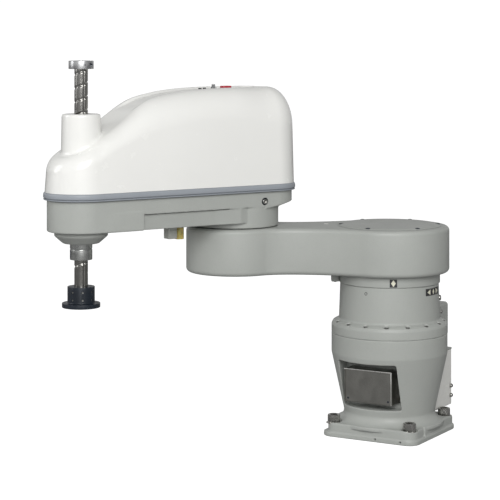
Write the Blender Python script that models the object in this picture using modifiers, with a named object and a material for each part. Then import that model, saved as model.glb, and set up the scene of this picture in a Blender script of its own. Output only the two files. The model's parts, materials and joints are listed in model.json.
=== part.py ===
"""SCARA robot arm with a reach of 650 mm: four axes, metres, +Z up.

The origin is on the joint-1 axis at the underside of the base, and +X is the side with the window.
Each arm hangs on an empty that stands on its joint's axis, with the empty's X along the arm.
"""

import math

import bmesh
import bpy

# Arms and rest pose
ARM_1_LENGTH = 0.300
ARM_2_LENGTH = 0.350
ARM_1_ANGLE = -60.0
ARM_2_ANGLE = 37.0

# Gaps: between fixed neighbours, and the weld distance of modifiers
GAP = 0.0003
MERGE = 0.00001

# Base
PLATE_SIZE = 0.200
PLATE_CORNER = 0.022
LEDGE_TOP = 0.009
PLATE_TOP = 0.027
BOLT_SPREAD = 0.080
SPOT_FACE = 0.0235
BASE_TOP = 0.194
COLUMN_RADIUS = 0.1124
CONE_TOP = 0.157
CONE_FOOT = 0.045
CONE_FOOT_RADIUS = 0.088
BASE_FLOOR = 0.014
WINDOW_LOW = (-0.0655, 0.058)
WINDOW_HIGH = (0.0580, 0.147)
WINDOW_WALL = 0.010

# Column housing and joint 1
NECK_TOP = 0.2915
NECK_RADIUS = 0.0955
NECK_FOOT = 0.222
NECK_FOOT_RADIUS = 0.098
SCALLOP_COUNT = 16
SCALLOP_CIRCLE = 0.1055
RING_BOTTOM = 0.2920
RING_TOP = 0.3117
RING_RADIUS = 0.098
STOP_OUTER = 0.113
STOP_HALF_WIDTH = 0.0125

# Rear panel
DUCT_BACK = 0.150
DUCT_HALF_WIDTH = 0.060
DUCT_BOTTOM = 0.170
DUCT_TOP = 0.238
PANEL_BACK = 0.158
PANEL_HALF_WIDTH = 0.063
PANEL_BOTTOM = 0.032
PANEL_TOP = 0.142

# Arm 1
ARM_1_BOTTOM = 0.312
ARM_1_TOP = 0.401
ARM_1_J1_RADIUS = 0.116
ARM_1_J2_RADIUS = 0.095
ARM_1_EDGE = 0.008
LID_RADIUS = 0.1005
LID_TOP = 0.404

# Arm 2
HUB_RADIUS = 0.084
HUB_BOTTOM = 0.4025
ARM_2_BOTTOM = 0.413
ARM_2_FLOOR = 0.421
RECESS_TOP = 0.4425
RECESS_DEPTH = 0.007
RECESS_FRONT = 0.257
ARM_2_TOP = 0.471
NOSE_RADIUS = 0.0625
ARM_2_HALF_WIDTH = 0.087
ARM_2_REAR = 0.100
ARM_2_CORNER = 0.055
RIM_TOP = 0.4847
RIM_OFFSET = 0.0067
COVER_OFFSET = 0.0043
COVER_BOTTOM = 0.4850
COVER_WALL = 0.003
COVER_SPINE = (-0.030, 0.346)
PANEL_DEPTH = 0.0045
ROOF_SEAT = 0.6662
BUTTON_LOW = (0.0305, 0.0175)
BUTTON_HIGH = (0.0505, 0.0315)
TOWER_TOP = 0.627
TOWER_RADIUS = 0.0355

# Shaft, nuts and tool
SHAFT_RADIUS = 0.0125
SHAFT_BORE = 0.007
SHAFT_BOTTOM = 0.2742
SHAFT_TOP = 0.7235
NUT_BORE = 0.0132
SLEEVE_RADIUS = 0.0205
SLEEVE_BOTTOM = 0.361
TOOL_FACE = 0.274
TOOL_FLANGE_TOP = 0.282
TOOL_HUB_TOP = 0.312
COLLAR_BOTTOM = 0.709
COLLAR_TOP = 0.724

# Belt drives inside arm 2
ROTATION_MOTOR_X = 0.120
Z_MOTOR_X = 0.225
ROTATION_BELT_BOTTOM = 0.4530
Z_BELT_BOTTOM = 0.5050
BELT_HEIGHT = 0.015
SPLINE_PULLEY_RADIUS = 0.030
SCREW_PULLEY_RADIUS = 0.032
MOTOR_PULLEY_RADIUS = 0.0155
MOTOR_RADIUS = 0.030

PAINT = ((0.40, 0.41, 0.38), 0.45, 0.0)
WHITE = ((0.80, 0.80, 0.76), 0.30, 0.0)
RIM_GREY = ((0.30, 0.33, 0.37), 0.45, 0.0)
STEEL = ((0.60, 0.60, 0.58), 0.28, 1.0)
STAINLESS = ((0.45, 0.45, 0.42), 0.35, 1.0)
ALUMINIUM = ((0.70, 0.71, 0.72), 0.40, 1.0)
BLACK = ((0.012, 0.014, 0.020), 0.40, 0.2)
DARK_MOTOR = ((0.03, 0.03, 0.035), 0.50, 0.0)
RUBBER = ((0.02, 0.02, 0.02), 0.80, 0.0)
AMBER = ((0.45, 0.38, 0.12), 0.40, 0.0)
RED = ((0.55, 0.02, 0.03), 0.35, 0.0)


# ---------------------------------------------------------------- helpers


def clear_scene():
    for obj in list(bpy.data.objects):
        bpy.data.objects.remove(obj, do_unlink=True)


def new_collection(name):
    collection = bpy.data.collections.new(name)
    bpy.context.scene.collection.children.link(collection)
    return collection


def material(name, finish):
    colour, roughness, metallic = finish
    made = bpy.data.materials.new(name)
    made.use_nodes = True
    shader = made.node_tree.nodes["Principled BSDF"]
    shader.inputs["Base Color"].default_value = (*colour, 1.0)
    shader.inputs["Roughness"].default_value = roughness
    shader.inputs["Metallic"].default_value = metallic
    return made


def empty(name, parent, location, angle):
    frame = bpy.data.objects.new(name, None)
    PARTS.objects.link(frame)
    frame.parent = parent
    frame.location = location
    frame.rotation_euler = (0.0, 0.0, math.radians(angle))
    return frame


def place(name, mesh, frame, finish, centre=(0.0, 0.0, 0.0), turn=(0.0, 0.0, 0.0)):
    """A part when it has a finish, and otherwise a helper for a Boolean."""
    obj = bpy.data.objects.new(name, mesh)
    obj.parent = frame
    obj.location = centre
    obj.rotation_euler = [math.radians(angle) for angle in turn]
    if finish:
        mesh.materials.append(material(name, finish))
        PARTS.objects.link(obj)
    else:
        CUTTERS.objects.link(obj)
        obj.hide_render = True
        obj.display_type = "WIRE"
    return obj


def turned(name, profile, frame, finish=None, steps=32, closed=False, **placing):
    """A profile of (radius, height), down its outer side, turned about Z."""
    points = [(radius, 0.0, height) for radius, height in profile]
    edges = [(i, i + 1) for i in range(len(points) - 1)]
    if closed:
        edges.append((len(points) - 1, 0))
    mesh = bpy.data.meshes.new(name)
    mesh.from_pydata(points, edges, [])
    obj = place(name, mesh, frame, finish, **placing)
    screw = obj.modifiers.new("Turn", "SCREW")
    screw.steps = steps
    screw.render_steps = steps
    screw.use_merge_vertices = True
    screw.merge_threshold = MERGE
    screw.use_smooth_shade = True
    return obj


def ring(name, inner, outer, bottom, top, frame, finish=None, **extra):
    profile = [(inner, top), (outer, top), (outer, bottom), (inner, bottom)]
    return turned(name, profile, frame, finish, closed=True, **extra)


def disc(name, radius, bottom, top, frame, finish=None, **extra):
    profile = [(0.0, top), (radius, top), (radius, bottom), (0.0, bottom)]
    return turned(name, profile, frame, finish, **extra)


def arc(centre, radius, start, end, steps):
    """Points on an arc, both ends included, angles in degrees."""
    points = []
    for i in range(steps + 1):
        angle = math.radians(start + (end - start) * i / steps)
        points.append((centre[0] + radius * math.cos(angle), centre[1] + radius * math.sin(angle)))
    return points


def rounded_rectangle(low, high, radius, steps=4):
    corners = (
        ((high[0] - radius, high[1] - radius), 0),
        ((low[0] + radius, high[1] - radius), 90),
        ((low[0] + radius, low[1] + radius), 180),
        ((high[0] - radius, low[1] + radius), 270),
    )
    points = []
    for centre, start in corners:
        points += arc(centre, radius, start, start + 90, steps)
    return points


def mesh_of_outline(name, outline, bottom, top):
    """A flat outline extruded from bottom to top, as a closed mesh."""
    curve = bpy.data.curves.new(name + "_outline", "CURVE")
    curve.dimensions = "2D"
    curve.fill_mode = "BOTH"
    curve.extrude = (top - bottom) / 2
    spline = curve.splines.new("POLY")
    spline.points.add(len(outline) - 1)
    for point, (x, y) in zip(spline.points, outline):
        point.co = (x, y, 0.0, 1.0)
    spline.use_cyclic_u = True
    guide = bpy.data.objects.new(name + "_outline", curve)
    bpy.context.scene.collection.objects.link(guide)
    bpy.context.view_layer.update()
    graph = bpy.context.evaluated_depsgraph_get()
    mesh = bpy.data.meshes.new_from_object(guide.evaluated_get(graph))
    bpy.data.objects.remove(guide, do_unlink=True)
    mesh.name = name
    mesh.materials.clear()
    shape = bmesh.new()
    shape.from_mesh(mesh)
    bmesh.ops.remove_doubles(shape, verts=shape.verts, dist=MERGE)
    flat = math.radians(1.0)
    bmesh.ops.dissolve_limit(shape, angle_limit=flat, verts=shape.verts, edges=shape.edges)
    bmesh.ops.translate(shape, verts=shape.verts, vec=(0.0, 0.0, (top + bottom) / 2))
    bmesh.ops.recalc_face_normals(shape, faces=shape.faces)
    shape.to_mesh(mesh)
    shape.free()
    return mesh


def prism(name, outline, bottom, top, frame, finish=None, **placing):
    return place(name, mesh_of_outline(name, outline, bottom, top), frame, finish, **placing)


def block(name, low, high, frame, finish=None, **placing):
    """A box between two corners."""
    mesh = bpy.data.meshes.new(name)
    shape = bmesh.new()
    bmesh.ops.create_cube(shape, size=1.0)
    size = [top - bottom for bottom, top in zip(low, high)]
    middle = [(top + bottom) / 2 for bottom, top in zip(low, high)]
    bmesh.ops.scale(shape, verts=shape.verts, vec=size)
    bmesh.ops.translate(shape, verts=shape.verts, vec=middle)
    shape.to_mesh(mesh)
    shape.free()
    return place(name, mesh, frame, finish, **placing)


def bevel(obj, width, segments=1, angle=35.0):
    modifier = obj.modifiers.new("Edges", "BEVEL")
    modifier.width = width
    modifier.segments = segments
    modifier.limit_method = "ANGLE"
    modifier.angle_limit = math.radians(angle)


def boolean(obj, tool, operation):
    modifier = obj.modifiers.new(tool.name, "BOOLEAN")
    modifier.object = tool
    modifier.operation = operation
    modifier.solver = "EXACT"


def cut(obj, *tools):
    for tool in tools:
        boolean(obj, tool, "DIFFERENCE")


def join(obj, *tools):
    for tool in tools:
        boolean(obj, tool, "UNION")


def cap_screw(name, radius, height, shank_radius, bottom, top, frame, finish, centre):
    """A socket-head screw with its head on top and its shank down to bottom."""
    seat = top - height
    socket = radius * 0.55
    profile = [
        (0.0, top - height * 0.5),
        (socket, top - height * 0.5),
        (socket, top),
        (radius, top),
        (radius, seat),
        (shank_radius, seat),
        (shank_radius, bottom),
        (0.0, bottom),
    ]
    return turned(name, profile, frame, finish, steps=12, centre=centre)


# ---------------------------------------------------------------- base


def base_casting(frame):
    half = PLATE_SIZE / 2
    foot = prism(
        "base_casting",
        rounded_rectangle((-half, -half), (half, half), PLATE_CORNER),
        0.0,
        LEDGE_TOP,
        frame,
        PAINT,
    )
    upper = prism(
        "base_upper_plate",
        rounded_rectangle((-half + 0.001, -half + 0.009), (half - 0.001, half - 0.003), PLATE_CORNER),
        LEDGE_TOP - 0.001,
        PLATE_TOP,
        frame,
    )
    flare_radius = 0.015
    flare = [
        (CONE_FOOT_RADIUS + flare_radius * (1 - math.cos(angle)), CONE_FOOT - flare_radius * math.sin(angle))
        for angle in (0.0, math.pi / 6, math.pi / 3, math.pi / 2)
    ]
    column = turned(
        "base_column",
        [(0.0, BASE_TOP), (COLUMN_RADIUS, BASE_TOP), (COLUMN_RADIUS, CONE_TOP)]
        + flare
        + [(flare[-1][0], 0.020), (0.0, 0.020)],
        frame,
        steps=40,
    )
    cavity = turned(
        "base_cavity",
        [
            (0.0, BASE_TOP + 0.001),
            (0.085, BASE_TOP + 0.001),
            (0.085, 0.182),
            (0.102, 0.176),
            (0.102, 0.156),
            (0.078, CONE_FOOT),
            (0.074, BASE_FLOOR),
            (0.0, BASE_FLOOR),
        ],
        frame,
    )
    window = block(
        "base_window",
        (0.050, *WINDOW_LOW),
        (0.130, *WINDOW_HIGH),
        frame,
    )
    outer_low = [edge - WINDOW_WALL for edge in WINDOW_LOW]
    outer_high = [edge + WINDOW_WALL for edge in WINDOW_HIGH]
    surround = block("window_surround", (0.045, *outer_low), (0.130, *outer_high), frame)
    passage = block("window_passage", (0.040, -0.049, 0.074), (0.060, 0.042, 0.127), frame)
    cut(cavity, surround)
    join(foot, upper, column)
    cut(foot, cavity, window, passage)
    for corner, centre in enumerate(bolt_places(), 1):
        pocket = turned(
            f"bolt_pocket_{corner}",
            [(0.0, 0.060), (0.0155, 0.060), (0.0155, SPOT_FACE), (0.0088, SPOT_FACE), (0.0088, -0.001), (0.0, -0.001)],
            frame,
            steps=16,
            centre=centre,
        )
        cut(foot, pocket)
    return foot


def bolt_places():
    signs = ((1, -1), (1, 1), (-1, 1), (-1, -1))
    return [(BOLT_SPREAD * x, BOLT_SPREAD * y, 0.0) for x, y in signs]


def anchor_bolts(frame):
    for number, centre in enumerate(bolt_places(), 1):
        bottom = SPOT_FACE + GAP
        cap_screw(f"anchor_bolt_{number}", 0.012, 0.016, 0.008, 0.0005, bottom + 0.016, frame, STEEL, centre)


def front_access_box(frame):
    """A folded sheet box whose back is open towards the motor."""
    mesh = bpy.data.meshes.new("front_access_box")
    shape = bmesh.new()
    bmesh.ops.create_cube(shape, size=1.0)
    bmesh.ops.scale(shape, verts=shape.verts, vec=(0.036, 0.0995, 0.063))
    bmesh.ops.translate(shape, verts=shape.verts, vec=(0.070, -0.00375, 0.1005))
    back = [face for face in shape.faces if face.normal.x < -0.9]
    bmesh.ops.delete(shape, geom=back, context="FACES")
    shape.to_mesh(mesh)
    shape.free()
    box = place("front_access_box", mesh, frame, STAINLESS)
    sheet = box.modifiers.new("Sheet", "SOLIDIFY")
    sheet.thickness = 0.0015
    sheet.offset = -1.0


def column_housing(frame):
    profile = [
        (0.082, NECK_TOP),
        (NECK_RADIUS, NECK_TOP),
        (NECK_FOOT_RADIUS, NECK_FOOT),
        (0.1035, 0.2200),
        (0.1095, 0.2165),
        (COLUMN_RADIUS, 0.2100),
        (COLUMN_RADIUS, BASE_TOP + GAP),
        (0.060, BASE_TOP + GAP),
        (0.060, 0.204),
        (0.082, 0.204),
    ]
    housing = turned("column_housing", profile, frame, PAINT, steps=40, closed=True)
    for number in range(SCALLOP_COUNT):
        angle = 2 * math.pi * number / SCALLOP_COUNT
        centre = (SCALLOP_CIRCLE * math.cos(angle), SCALLOP_CIRCLE * math.sin(angle), 0.0)
        scallop = disc(f"scallop_{number}", 0.0058, 0.2125, 0.2300, frame, steps=8, centre=centre)
        cut(housing, scallop)


def fixed_stop(frame):
    """The block on the back of the neck that ends joint 1's travel."""
    half = STOP_HALF_WIDTH
    stop = block("j1_fixed_stop", (-STOP_OUTER, -half, 0.262), (-0.0974, half, 0.2905), frame, PAINT)
    upper = block("stop_upper", (-STOP_OUTER, -half, 0.290), (-0.0988, half, 0.3110), frame)
    join(stop, upper)


def rear_duct_cover(frame):
    low = (-DUCT_BACK, -DUCT_HALF_WIDTH)
    outline = rounded_rectangle(low, (-0.050, DUCT_HALF_WIDTH), 0.006, steps=3)
    cover = prism("rear_duct_cover", outline, DUCT_BOTTOM, DUCT_TOP, frame, PAINT)
    wall = 0.004
    inner = rounded_rectangle((low[0] + wall, low[1] + wall), (-0.040, DUCT_HALF_WIDTH - wall), 0.003, steps=2)
    hollow = prism("duct_hollow", inner, DUCT_BOTTOM + wall, DUCT_TOP - wall, frame)
    column = disc("duct_column", COLUMN_RADIUS + 0.0009, 0.100, 0.300, frame, steps=40)
    cut(cover, hollow, column)


def connector_box(frame):
    low = (-PANEL_BACK, -PANEL_HALF_WIDTH)
    outline = rounded_rectangle(low, (-0.060, PANEL_HALF_WIDTH), 0.003, steps=1)
    box = prism("rear_connector_box", outline, PANEL_BOTTOM, PANEL_TOP, frame, WHITE)
    wall = 0.002
    inner = rounded_rectangle((low[0] + wall, low[1] + wall), (-0.050, PANEL_HALF_WIDTH - wall), 0.002, steps=1)
    hollow = prism("panel_hollow", inner, PANEL_BOTTOM + wall, PANEL_TOP - wall, frame)
    clear = 0.0012
    column = turned(
        "panel_column",
        [
            (0.0, 0.160),
            (COLUMN_RADIUS + clear, 0.160),
            (COLUMN_RADIUS + clear, CONE_TOP),
            (CONE_FOOT_RADIUS + clear, CONE_FOOT),
            (0.1045, 0.029),
            (0.0, 0.029),
        ],
        frame,
        steps=40,
    )
    cut(box, hollow, column)


def rear_fittings(frame):
    """Connectors on the panel's back face, and the two screws on its side."""
    back = -PANEL_BACK - GAP
    facing_back = (0.0, -90.0, 0.0)
    sockets = (
        ("power_connector", 0.0150, 0.014, -0.034, 0.100),
        ("signal_connector", 0.0120, 0.014, 0.004, 0.100),
        ("base_air_port", 0.0060, 0.012, 0.036, 0.100),
    )
    for name, radius, length, y, z in sockets:
        finish = BLACK if radius > 0.01 else STEEL
        profile = [
            (0.0, length - 0.004),
            (radius * 0.7, length - 0.004),
            (radius * 0.7, length),
            (radius, length),
            (radius, 0.0),
            (0.0, 0.0),
        ]
        turned(name, profile, frame, finish, steps=16, centre=(back, y, z), turn=facing_back)
    for number, height in enumerate((0.070, 0.051), 1):
        side = PANEL_HALF_WIDTH + GAP
        disc(
            f"panel_screw_{number}",
            0.0042,
            0.0,
            0.0055,
            frame,
            STEEL,
            steps=12,
            centre=(-0.149, side, height),
            turn=(-90.0, 0.0, 0.0),
        )


def j1_drive(frame):
    profile = [
        (0.0, 0.1938),
        (0.0842, 0.1938),
        (0.0842, 0.1860),
        (0.0500, 0.1860),
        (0.0500, 0.1750),
        (0.0400, 0.1750),
        (0.0400, 0.0350),
        (0.0, 0.0350),
    ]
    turned("j1_motor", profile, frame, DARK_MOTOR, steps=24)
    ring("j1_circular_spline", 0.0605, 0.0813, 0.2044, 0.2450, frame, STEEL)
    ring("j1_bearing_outer", 0.0705, 0.0813, 0.2500, 0.2850, frame, STEEL)
    turned(
        "j1_wave_generator",
        [(0.0, 0.240), (0.040, 0.240), (0.040, 0.222), (0.008, 0.222), (0.008, 0.1942), (0.0, 0.1942)],
        frame,
        STEEL,
        steps=24,
    )


# ---------------------------------------------------------------- arm 1


def bezier(start, handle_1, handle_2, end, steps):
    points = []
    for i in range(1, steps):
        t = i / steps
        weights = ((1 - t) ** 3, 3 * t * (1 - t) ** 2, 3 * t * t * (1 - t), t**3)
        corners = (start, handle_1, handle_2, end)
        points.append(tuple(sum(w * p[k] for w, p in zip(weights, corners)) for k in (0, 1)))
    return points


def arm_1_outline():
    """Two drums joined by a waist whose sides are drawn in."""
    leave_j1 = 60.0
    leave_j2 = 125.0
    j1_arc = arc((0.0, 0.0), ARM_1_J1_RADIUS, leave_j1, 360 - leave_j1, 20)
    j2_arc = arc((ARM_1_LENGTH, 0.0), ARM_1_J2_RADIUS, -leave_j2, leave_j2, 20)
    down = math.radians(leave_j1 - 90)
    up = math.radians(leave_j2 - 90)
    lower = bezier(
        j1_arc[-1],
        (j1_arc[-1][0] + 0.055 * math.cos(down), j1_arc[-1][1] - 0.055 * math.sin(down)),
        (j2_arc[0][0] - 0.050 * math.cos(up), j2_arc[0][1] + 0.050 * math.sin(up)),
        j2_arc[0],
        7,
    )
    upper = [(x, -y) for x, y in reversed(lower)]
    return j1_arc + lower + j2_arc + upper


def arm_1_casting(frame):
    arm = prism("arm1_casting", arm_1_outline(), ARM_1_BOTTOM, ARM_1_TOP, frame, PAINT)
    bevel(arm, ARM_1_EDGE, segments=2)
    cavity_outline = arc((0.0, 0.0), 0.106, 48, 312, 18) + [(0.200, -0.052), (0.200, 0.052)]
    cavity = prism("arm1_cavity", cavity_outline, 0.322, 0.392, frame)
    opening = disc("arm1_opening", 0.088, 0.380, 0.410, frame)
    floor_hole = disc("arm1_floor_hole", 0.020, 0.300, 0.330, frame, steps=16)
    j2_axis = (ARM_1_LENGTH, 0.0, 0.0)
    bore = turned(
        "arm1_j2_bore",
        [
            (0.0, 0.410),
            (0.0745, 0.410),
            (0.0745, 0.340),
            (0.055, 0.340),
            (0.055, 0.3185),
            (0.0615, 0.3185),
            (0.0615, 0.300),
            (0.0, 0.300),
        ],
        frame,
        centre=j2_axis,
    )
    cut(arm, cavity, opening, floor_hole, bore)


def arm_1_fittings(frame):
    disc("arm1_lid", LID_RADIUS, ARM_1_TOP + GAP, LID_TOP, frame, PAINT, steps=40)
    ring("j1_output_ring", 0.0200, RING_RADIUS, RING_BOTTOM, RING_TOP, frame, PAINT, steps=40)
    half = STOP_HALF_WIDTH
    block("j1_stopper", (0.0986, -half, 0.2925), (STOP_OUTER, half, RING_TOP), frame, PAINT)
    ring("j1_bearing_inner", 0.0610, 0.0695, 0.2500, 0.2916, frame, STEEL)
    turned(
        "j1_flexspline",
        [(0.0, 0.2916), (0.0595, 0.2916), (0.0595, 0.2100), (0.0560, 0.2100), (0.0560, 0.2840), (0.0, 0.2840)],
        frame,
        STEEL,
    )
    j2_axis = (ARM_1_LENGTH, 0.0, 0.0)
    disc("j2_bottom_cap", 0.0610, ARM_1_BOTTOM + GAP, 0.3181, frame, PAINT, centre=j2_axis)
    ring("j2_circular_spline", 0.0525, 0.0740, 0.3404, 0.3750, frame, STEEL, centre=j2_axis)
    ring("j2_bearing_outer", 0.0630, 0.0740, 0.3780, 0.3990, frame, STEEL, centre=j2_axis)


# ---------------------------------------------------------------- arm 2


def arm_2_outline(offset, corner_steps=6, flank_steps=1):
    """Nose about the shaft, straight flanks and a rounded rear, offset outwards."""
    nose = NOSE_RADIUS + offset
    width = ARM_2_HALF_WIDTH + offset
    corner = ARM_2_CORNER + offset
    rear = ARM_2_REAR + offset
    slope = math.degrees(math.asin((width - nose) / ARM_2_LENGTH))
    nose_arc = arc((ARM_2_LENGTH, 0.0), nose, slope - 90, 90 - slope, 16)
    corner_x = corner - rear
    corner_y = width - corner
    rear_left = arc((corner_x, corner_y), corner, 90 - slope / 2, 180, corner_steps)
    (x_0, y_0), (x_1, y_1) = nose_arc[-1], rear_left[0]
    parts = [i / flank_steps for i in range(1, flank_steps)]
    flank = [(x_0 + (x_1 - x_0) * part, y_0 + (y_1 - y_0) * part) for part in parts]
    left = flank + rear_left
    return nose_arc + left + [(x, -y) for x, y in reversed(left)]


def arm_2_half_width(x):
    slope = (ARM_2_HALF_WIDTH - NOSE_RADIUS) / ARM_2_LENGTH
    return ARM_2_HALF_WIDTH - slope * x


def arm_2_casting(frame):
    band = prism("arm2_casting", arm_2_outline(0.0), 0.4380, ARM_2_TOP, frame, PAINT)
    underside = turned(
        "rear_chamfer",
        [(HUB_RADIUS + 0.001, 0.4392), (0.150, 0.4660), (0.150, 0.4000), (HUB_RADIUS + 0.001, 0.4000)],
        frame,
        closed=True,
    )
    rear_half = block("rear_half", (-0.200, -0.200, 0.380), (-0.010, 0.200, 0.480), frame)
    boolean(underside, rear_half, "INTERSECT")
    cut(band, underside)
    front = block("band_front", (-0.010, -0.150, 0.430), (0.450, 0.150, RECESS_TOP), frame)
    cut(band, front)
    nose_width = arm_2_half_width(RECESS_FRONT)
    nose_outline = arc((ARM_2_LENGTH, 0.0), NOSE_RADIUS, -86, 86, 14)
    nose_outline += [(RECESS_FRONT, nose_width), (RECESS_FRONT, -nose_width)]
    nose = prism("arm2_nose", nose_outline, ARM_2_BOTTOM, 0.450, frame)
    flank = [
        (0.0, 0.075),
        (0.046, arm_2_half_width(0.046) - RECESS_DEPTH / 3),
        (0.100, arm_2_half_width(0.100) - RECESS_DEPTH),
        (0.262, nose_width - RECESS_DEPTH),
    ]
    waist_outline = [(x, -y) for x, y in flank] + flank[::-1]
    waist = prism("arm2_waist", waist_outline, ARM_2_BOTTOM, 0.450, frame)
    hub = disc("arm2_hub", HUB_RADIUS, HUB_BOTTOM, 0.4500, frame)
    join(band, nose, waist, hub)
    lower_outline = arc((ARM_2_LENGTH, 0.0), 0.055, -85, 85, 12)
    lower_outline += [(RECESS_FRONT, 0.056), (0.046, 0.070), (-0.045, 0.050), (-0.045, -0.050)]
    lower_outline += [(0.046, -0.070), (RECESS_FRONT, -0.056)]
    lower = prism("arm2_lower_pocket", lower_outline, ARM_2_FLOOR, 0.455, frame)
    upper = prism("arm2_upper_pocket", arm_2_outline(-0.006), 0.4500, 0.480, frame)
    spline_bore = disc("arm2_spline_bore", 0.0342, 0.400, 0.430, frame, steps=24, centre=(ARM_2_LENGTH, 0.0, 0.0))
    shaft_bore = disc("arm2_shaft_bore", 0.012, 0.390, 0.430, frame, steps=16)
    cut(band, lower, upper, spline_bore, shaft_bore)
    for side in (-1, 1):
        pocket = disc(
            f"side_screw_pocket_{side}",
            0.0068,
            -0.012,
            0.012,
            frame,
            steps=12,
            centre=(-0.0085, side * 0.0950, 0.4526),
            turn=(90.0, 0.0, 0.0),
        )
        cut(band, pocket)


def arm_2_gasket(frame):
    bottom = ARM_2_TOP + GAP
    gasket = prism("arm2_gasket", arm_2_outline(RIM_OFFSET), bottom, RIM_TOP, frame, RIM_GREY)
    inside = prism("gasket_inside", arm_2_outline(-0.006), bottom - 0.01, RIM_TOP + 0.01, frame)
    cut(gasket, inside)


def roof_height(x):
    """Height of the cover's roof along arm 2: level at the rear, falling in an S to the nose."""
    stations = (-0.110, 0.000, 0.050, 0.097, 0.150, 0.193, 0.220, 0.240, 0.262, 0.310, 0.335, 0.362, 0.390, 0.420)
    heights = (0.6700, 0.6702, 0.6700, 0.6688, 0.6650, 0.6585, 0.6520, 0.6430, 0.6290, 0.5960, 0.5805, 0.5620, 0.5475, 0.5385)
    for x_0, x_1, z_0, z_1 in zip(stations, stations[1:], heights, heights[1:]):
        if x <= x_1:
            return z_0 + (z_1 - z_0) * max(0.0, x - x_0) / (x_1 - x_0)
    return heights[-1]


def smooth_step(low, high, x):
    share = min(1.0, max(0.0, (x - low) / (high - low)))
    return share * share * (3 - 2 * share)


def cover_rows(outline):
    """Rings of points from the rim, up the wall, over the shoulder, down to the panel and in to the centre line."""
    draft = 0.003
    step_width = 0.004
    rows = []
    for row in range(8):
        points = []
        for x, y in outline:
            spine_x = min(max(x, COVER_SPINE[0]), COVER_SPINE[1])
            length = math.hypot(x - spine_x, y)
            nose = smooth_step(0.200, 0.335, spine_x)
            rear = 1 - smooth_step(-0.030, 0.050, spine_x)
            width = 0.043 - 0.014 * nose + 0.008 * rear
            reach = 0.060 - 0.028 * nose + 0.015 * rear
            sunk = PANEL_DEPTH * (1 - smooth_step(0.235, 0.262, spine_x))
            if row == 0:
                inset = 0.0
                height = COVER_BOTTOM - 0.004
            elif row < 6:
                turn = math.pi / 2 * (row - 1) / 4
                roof = roof_height(x if row < 2 else spine_x + (x - spine_x) * 0.5)
                inset = width * (1 - math.cos(turn)) + draft
                height = roof - reach * (1 - math.sin(turn))
            else:
                inset = width + draft + step_width if row == 6 else length
                height = roof_height(spine_x) - sunk
            scale = max(0.0, length - inset) / length
            points.append((spine_x + (x - spine_x) * scale, y * scale, height))
        rows.append(points)
    return rows


def arm_2_cover(frame):
    outline = arm_2_outline(COVER_OFFSET, corner_steps=5, flank_steps=10)
    rows = cover_rows(outline)
    count = len(outline)
    shape = bmesh.new()
    grid = [[shape.verts.new(point) for point in row] for row in rows]
    for lower, upper in zip(grid, grid[1:]):
        for i in range(count):
            k = (i + 1) % count
            shape.faces.new((lower[i], lower[k], upper[k], upper[i]))
    bmesh.ops.remove_doubles(shape, verts=shape.verts, dist=0.0002)
    bmesh.ops.dissolve_degenerate(shape, edges=shape.edges, dist=0.0002)
    bmesh.ops.recalc_face_normals(shape, faces=shape.faces)
    mesh = bpy.data.meshes.new("arm2_cover")
    shape.to_mesh(mesh)
    shape.free()
    cover = place("arm2_cover", mesh, frame, WHITE)
    shell = cover.modifiers.new("Wall", "SOLIDIFY")
    shell.thickness = COVER_WALL
    shell.offset = -1.0
    cut(cover, block("below_cover", (-0.200, -0.150, 0.460), (0.500, 0.150, COVER_BOTTOM), frame))
    axis = (ARM_2_LENGTH, 0.0, 0.0)
    tower = turned(
        "cover_tower",
        [
            (0.0, TOWER_TOP),
            (TOWER_RADIUS - 0.003, TOWER_TOP),
            (TOWER_RADIUS, TOWER_TOP - 0.003),
            (TOWER_RADIUS + 0.0015, 0.545),
            (0.0, 0.545),
        ],
        frame,
        centre=axis,
    )
    hollow = turned(
        "tower_hollow",
        [(0.0, 0.640), (0.0165, 0.640), (0.0165, 0.6235), (0.0320, 0.6235), (0.0320, 0.500), (0.0, 0.500)],
        frame,
        steps=24,
        centre=axis,
    )
    button_hole = block(
        "button_hole",
        (BUTTON_LOW[0] - 0.0015, BUTTON_LOW[1] - 0.0015, 0.640),
        (BUTTON_HIGH[0] + 0.0015, BUTTON_HIGH[1] + 0.0015, 0.700),
        frame,
    )
    join(cover, tower)
    cut(cover, hollow, button_hole)


def cover_fittings(frame):
    """What stands on the roof: a dark plate, two air couplings, and the brake-release button in its hole."""
    plate_top = ROOF_SEAT + 0.0012
    outline = rounded_rectangle((0.0225, 0.0130), (0.0790, 0.0342), 0.004, 2)
    plate = prism("button_plate", outline, ROOF_SEAT, plate_top, frame, BLACK)
    hole = block(
        "plate_hole",
        (BUTTON_LOW[0] - 0.0005, BUTTON_LOW[1] - 0.0005, 0.655),
        (BUTTON_HIGH[0] + 0.0005, BUTTON_HIGH[1] + 0.0005, 0.680),
        frame,
    )
    cut(plate, hole)
    for number, (x, y) in enumerate(((0.0680, 0.0200), (0.0720, 0.0298)), 1):
        top = plate_top + GAP
        profile = [
            (0.0, top + 0.009),
            (0.0022, top + 0.009),
            (0.0022, top + 0.003),
            (0.0040, top + 0.003),
            (0.0040, top),
            (0.0, top),
        ]
        turned(f"air_coupling_{number}", profile, frame, STEEL, steps=10, centre=(x, y, 0.0))
    outline = rounded_rectangle(BUTTON_LOW, BUTTON_HIGH, 0.003, 2)
    prism("brake_button", outline, 0.6618, 0.6718, frame, RED)


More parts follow.
